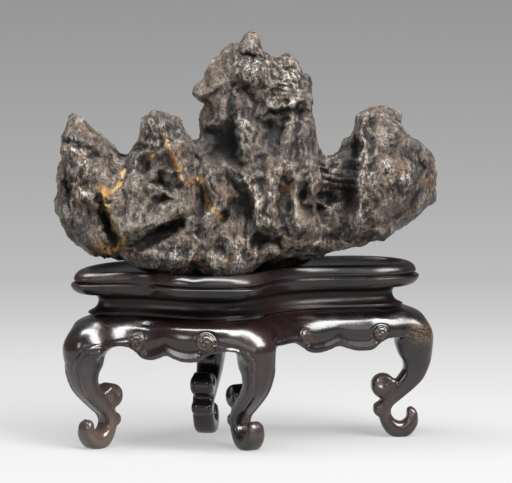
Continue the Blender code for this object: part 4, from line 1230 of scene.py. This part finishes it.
stage = {
    "floorSize": 14.0, "glow": 3.7, "roughness": 0.85, "specular": 0.15,
    "tones": [      # (distance behind the middle, grey)
        (-0.1, 0.120), (0.1, 0.115), (0.23, 0.1025), (0.34, 0.087), (0.46, 0.076), (0.8, 0.072),
        (1.7, 0.067)],
    "world": (0.97, 0.97, 1.0, 1.0), "worldStrength": 0.17,
}
lamps = {      # place, aim, (width, height), watts, colour
    "key": ((0.82, -0.80, 1.15), (0, 0, 0.07), (0.9, 0.9), 48.0, (1.0, 0.985, 0.96)),
    "frontFill": ((0.1, -2.4, 0.9), (0, 0, 0.06), (1.6, 0.8), 9.0, (1, 1, 1)),
    "overhead": ((-0.10, -0.15, 1.30), (0, 0.02, 0.05), (1.5, 0.5), 50.0, (1, 1, 1)),
    "leftFill": ((-1.3, -1.2, 0.8), (0, 0, 0.08), (0.6, 0.6), 7.5, (1.0, 0.99, 0.98)),
}
camera = {
    "eye": (0.0042, -2.9896, 0.4866), "aim": (0.0042, 0.0104, 0.0786),
    "pixel": 0.0004, "pixelsAcross": 512, "sensor": 36.0,      # pixel: its size at the aim
}


def makeFloor():
    # a level floor, paler in front; it glows a little, so that the shadows on it stay light
    half = stage["floorSize"] / 2
    corners = [(-half, -half, 0), (half, -half, 0), (half, half, 0), (-half, half, 0)]
    mesh = bpy.data.meshes.new("floor")
    mesh.from_pydata(corners, [], [(0, 1, 2, 3)])
    floor = bpy.data.objects.new("floor", mesh)
    bpy.context.scene.collection.objects.link(floor)
    m = Finish("pale floor")
    behind = m.add("SeparateXYZ", {"Vector": m.place}).outputs["Y"]
    first, last = stage["tones"][0][0], stage["tones"][-1][0]
    tones = m.add("ValToRGB", {"Fac": m.spread(behind, first, last)})
    elements = tones.color_ramp.elements
    while len(elements) < len(stage["tones"]):
        elements.new(0.5)
    for element, (distance, grey) in zip(elements, stage["tones"]):
        element.position = (distance - first) / (last - first)
        element.color = (grey, grey, grey, 1.0)
    colour = tones.outputs["Color"]
    material = m.finished(baseColor=colour, emissionColor=colour, emissionStrength=stage["glow"],
                          roughness=stage["roughness"], specularIorLevel=stage["specular"])
    mesh.materials.append(material)


def placeAimed(name, data, place, aim):
    # a lamp or the camera at its place, turned so that it looks at the aim
    holder = bpy.data.objects.new(name, data)
    bpy.context.scene.collection.objects.link(holder)
    holder.location = place
    x, y, z = np.array(aim) - np.array(place)
    holder.rotation_euler = (math.atan2(math.hypot(x, y), -z), 0.0, math.atan2(-x, y))
    return holder


def makeLight():
    # four soft rectangles of light and a faint even glow from all round
    for name, (place, aim, size, watts, colour) in lamps.items():
        lamp = bpy.data.lights.new(name, "AREA")
        lamp.shape = "RECTANGLE"
        lamp.size, lamp.size_y = size
        lamp.energy = watts
        lamp.color = colour
        placeAimed(name, lamp, place, aim)
    world = bpy.data.worlds.new("studio")
    bpy.context.scene.world = world
    world.use_nodes = True
    background = world.node_tree.nodes["Background"]
    background.inputs["Color"].default_value = stage["world"]
    background.inputs["Strength"].default_value = stage["worldStrength"]


def makeCamera():
    # a long lens at the eye point, its length such that a pixel has the wanted size at the aim
    lens = bpy.data.cameras.new("camera")
    lens.sensor_fit = "HORIZONTAL"
    lens.sensor_width = camera["sensor"]
    far = float(np.linalg.norm(np.array(camera["aim"]) - np.array(camera["eye"])))
    lens.lens = camera["sensor"] * far / (camera["pixelsAcross"] * camera["pixel"])
    lens.clip_start, lens.clip_end = 0.05, 40.0
    bpy.context.scene.camera = placeAimed("camera", lens, camera["eye"], camera["aim"])


makeCamera()
makeFloor()
makeLight()
print("stage, lamps and camera set")

stone = stoneMesh()
showPiece("stone", stone, stoneMaterial(), "stone", "rock")

showPiece("topPlate", moulded("topPlate", plateShape), woodMaterial("plate wood", **plateShape["wood"]),
          "wood", "top_plate")
showPiece("waistBand", moulded("waistBand", waistShape), woodMaterial("waist wood", **waistShape["wood"]),
          "wood", "waist")

carved = splitFrame(carvedFrame())
showPiece("apronFrame", carved["apronFrame"], woodMaterial("apron wood", **apronShape["wood"]),
          "wood", "apron_frame")
for name, (_, _, node) in legs.items():
    finish = woodMaterial(name + " wood", **legShape["wood"], footWear=legShape["footWear"][name])
    showPiece(name, carved[name], finish, "wood", node)

bpy.context.scene.view_settings.view_transform = "Standard"
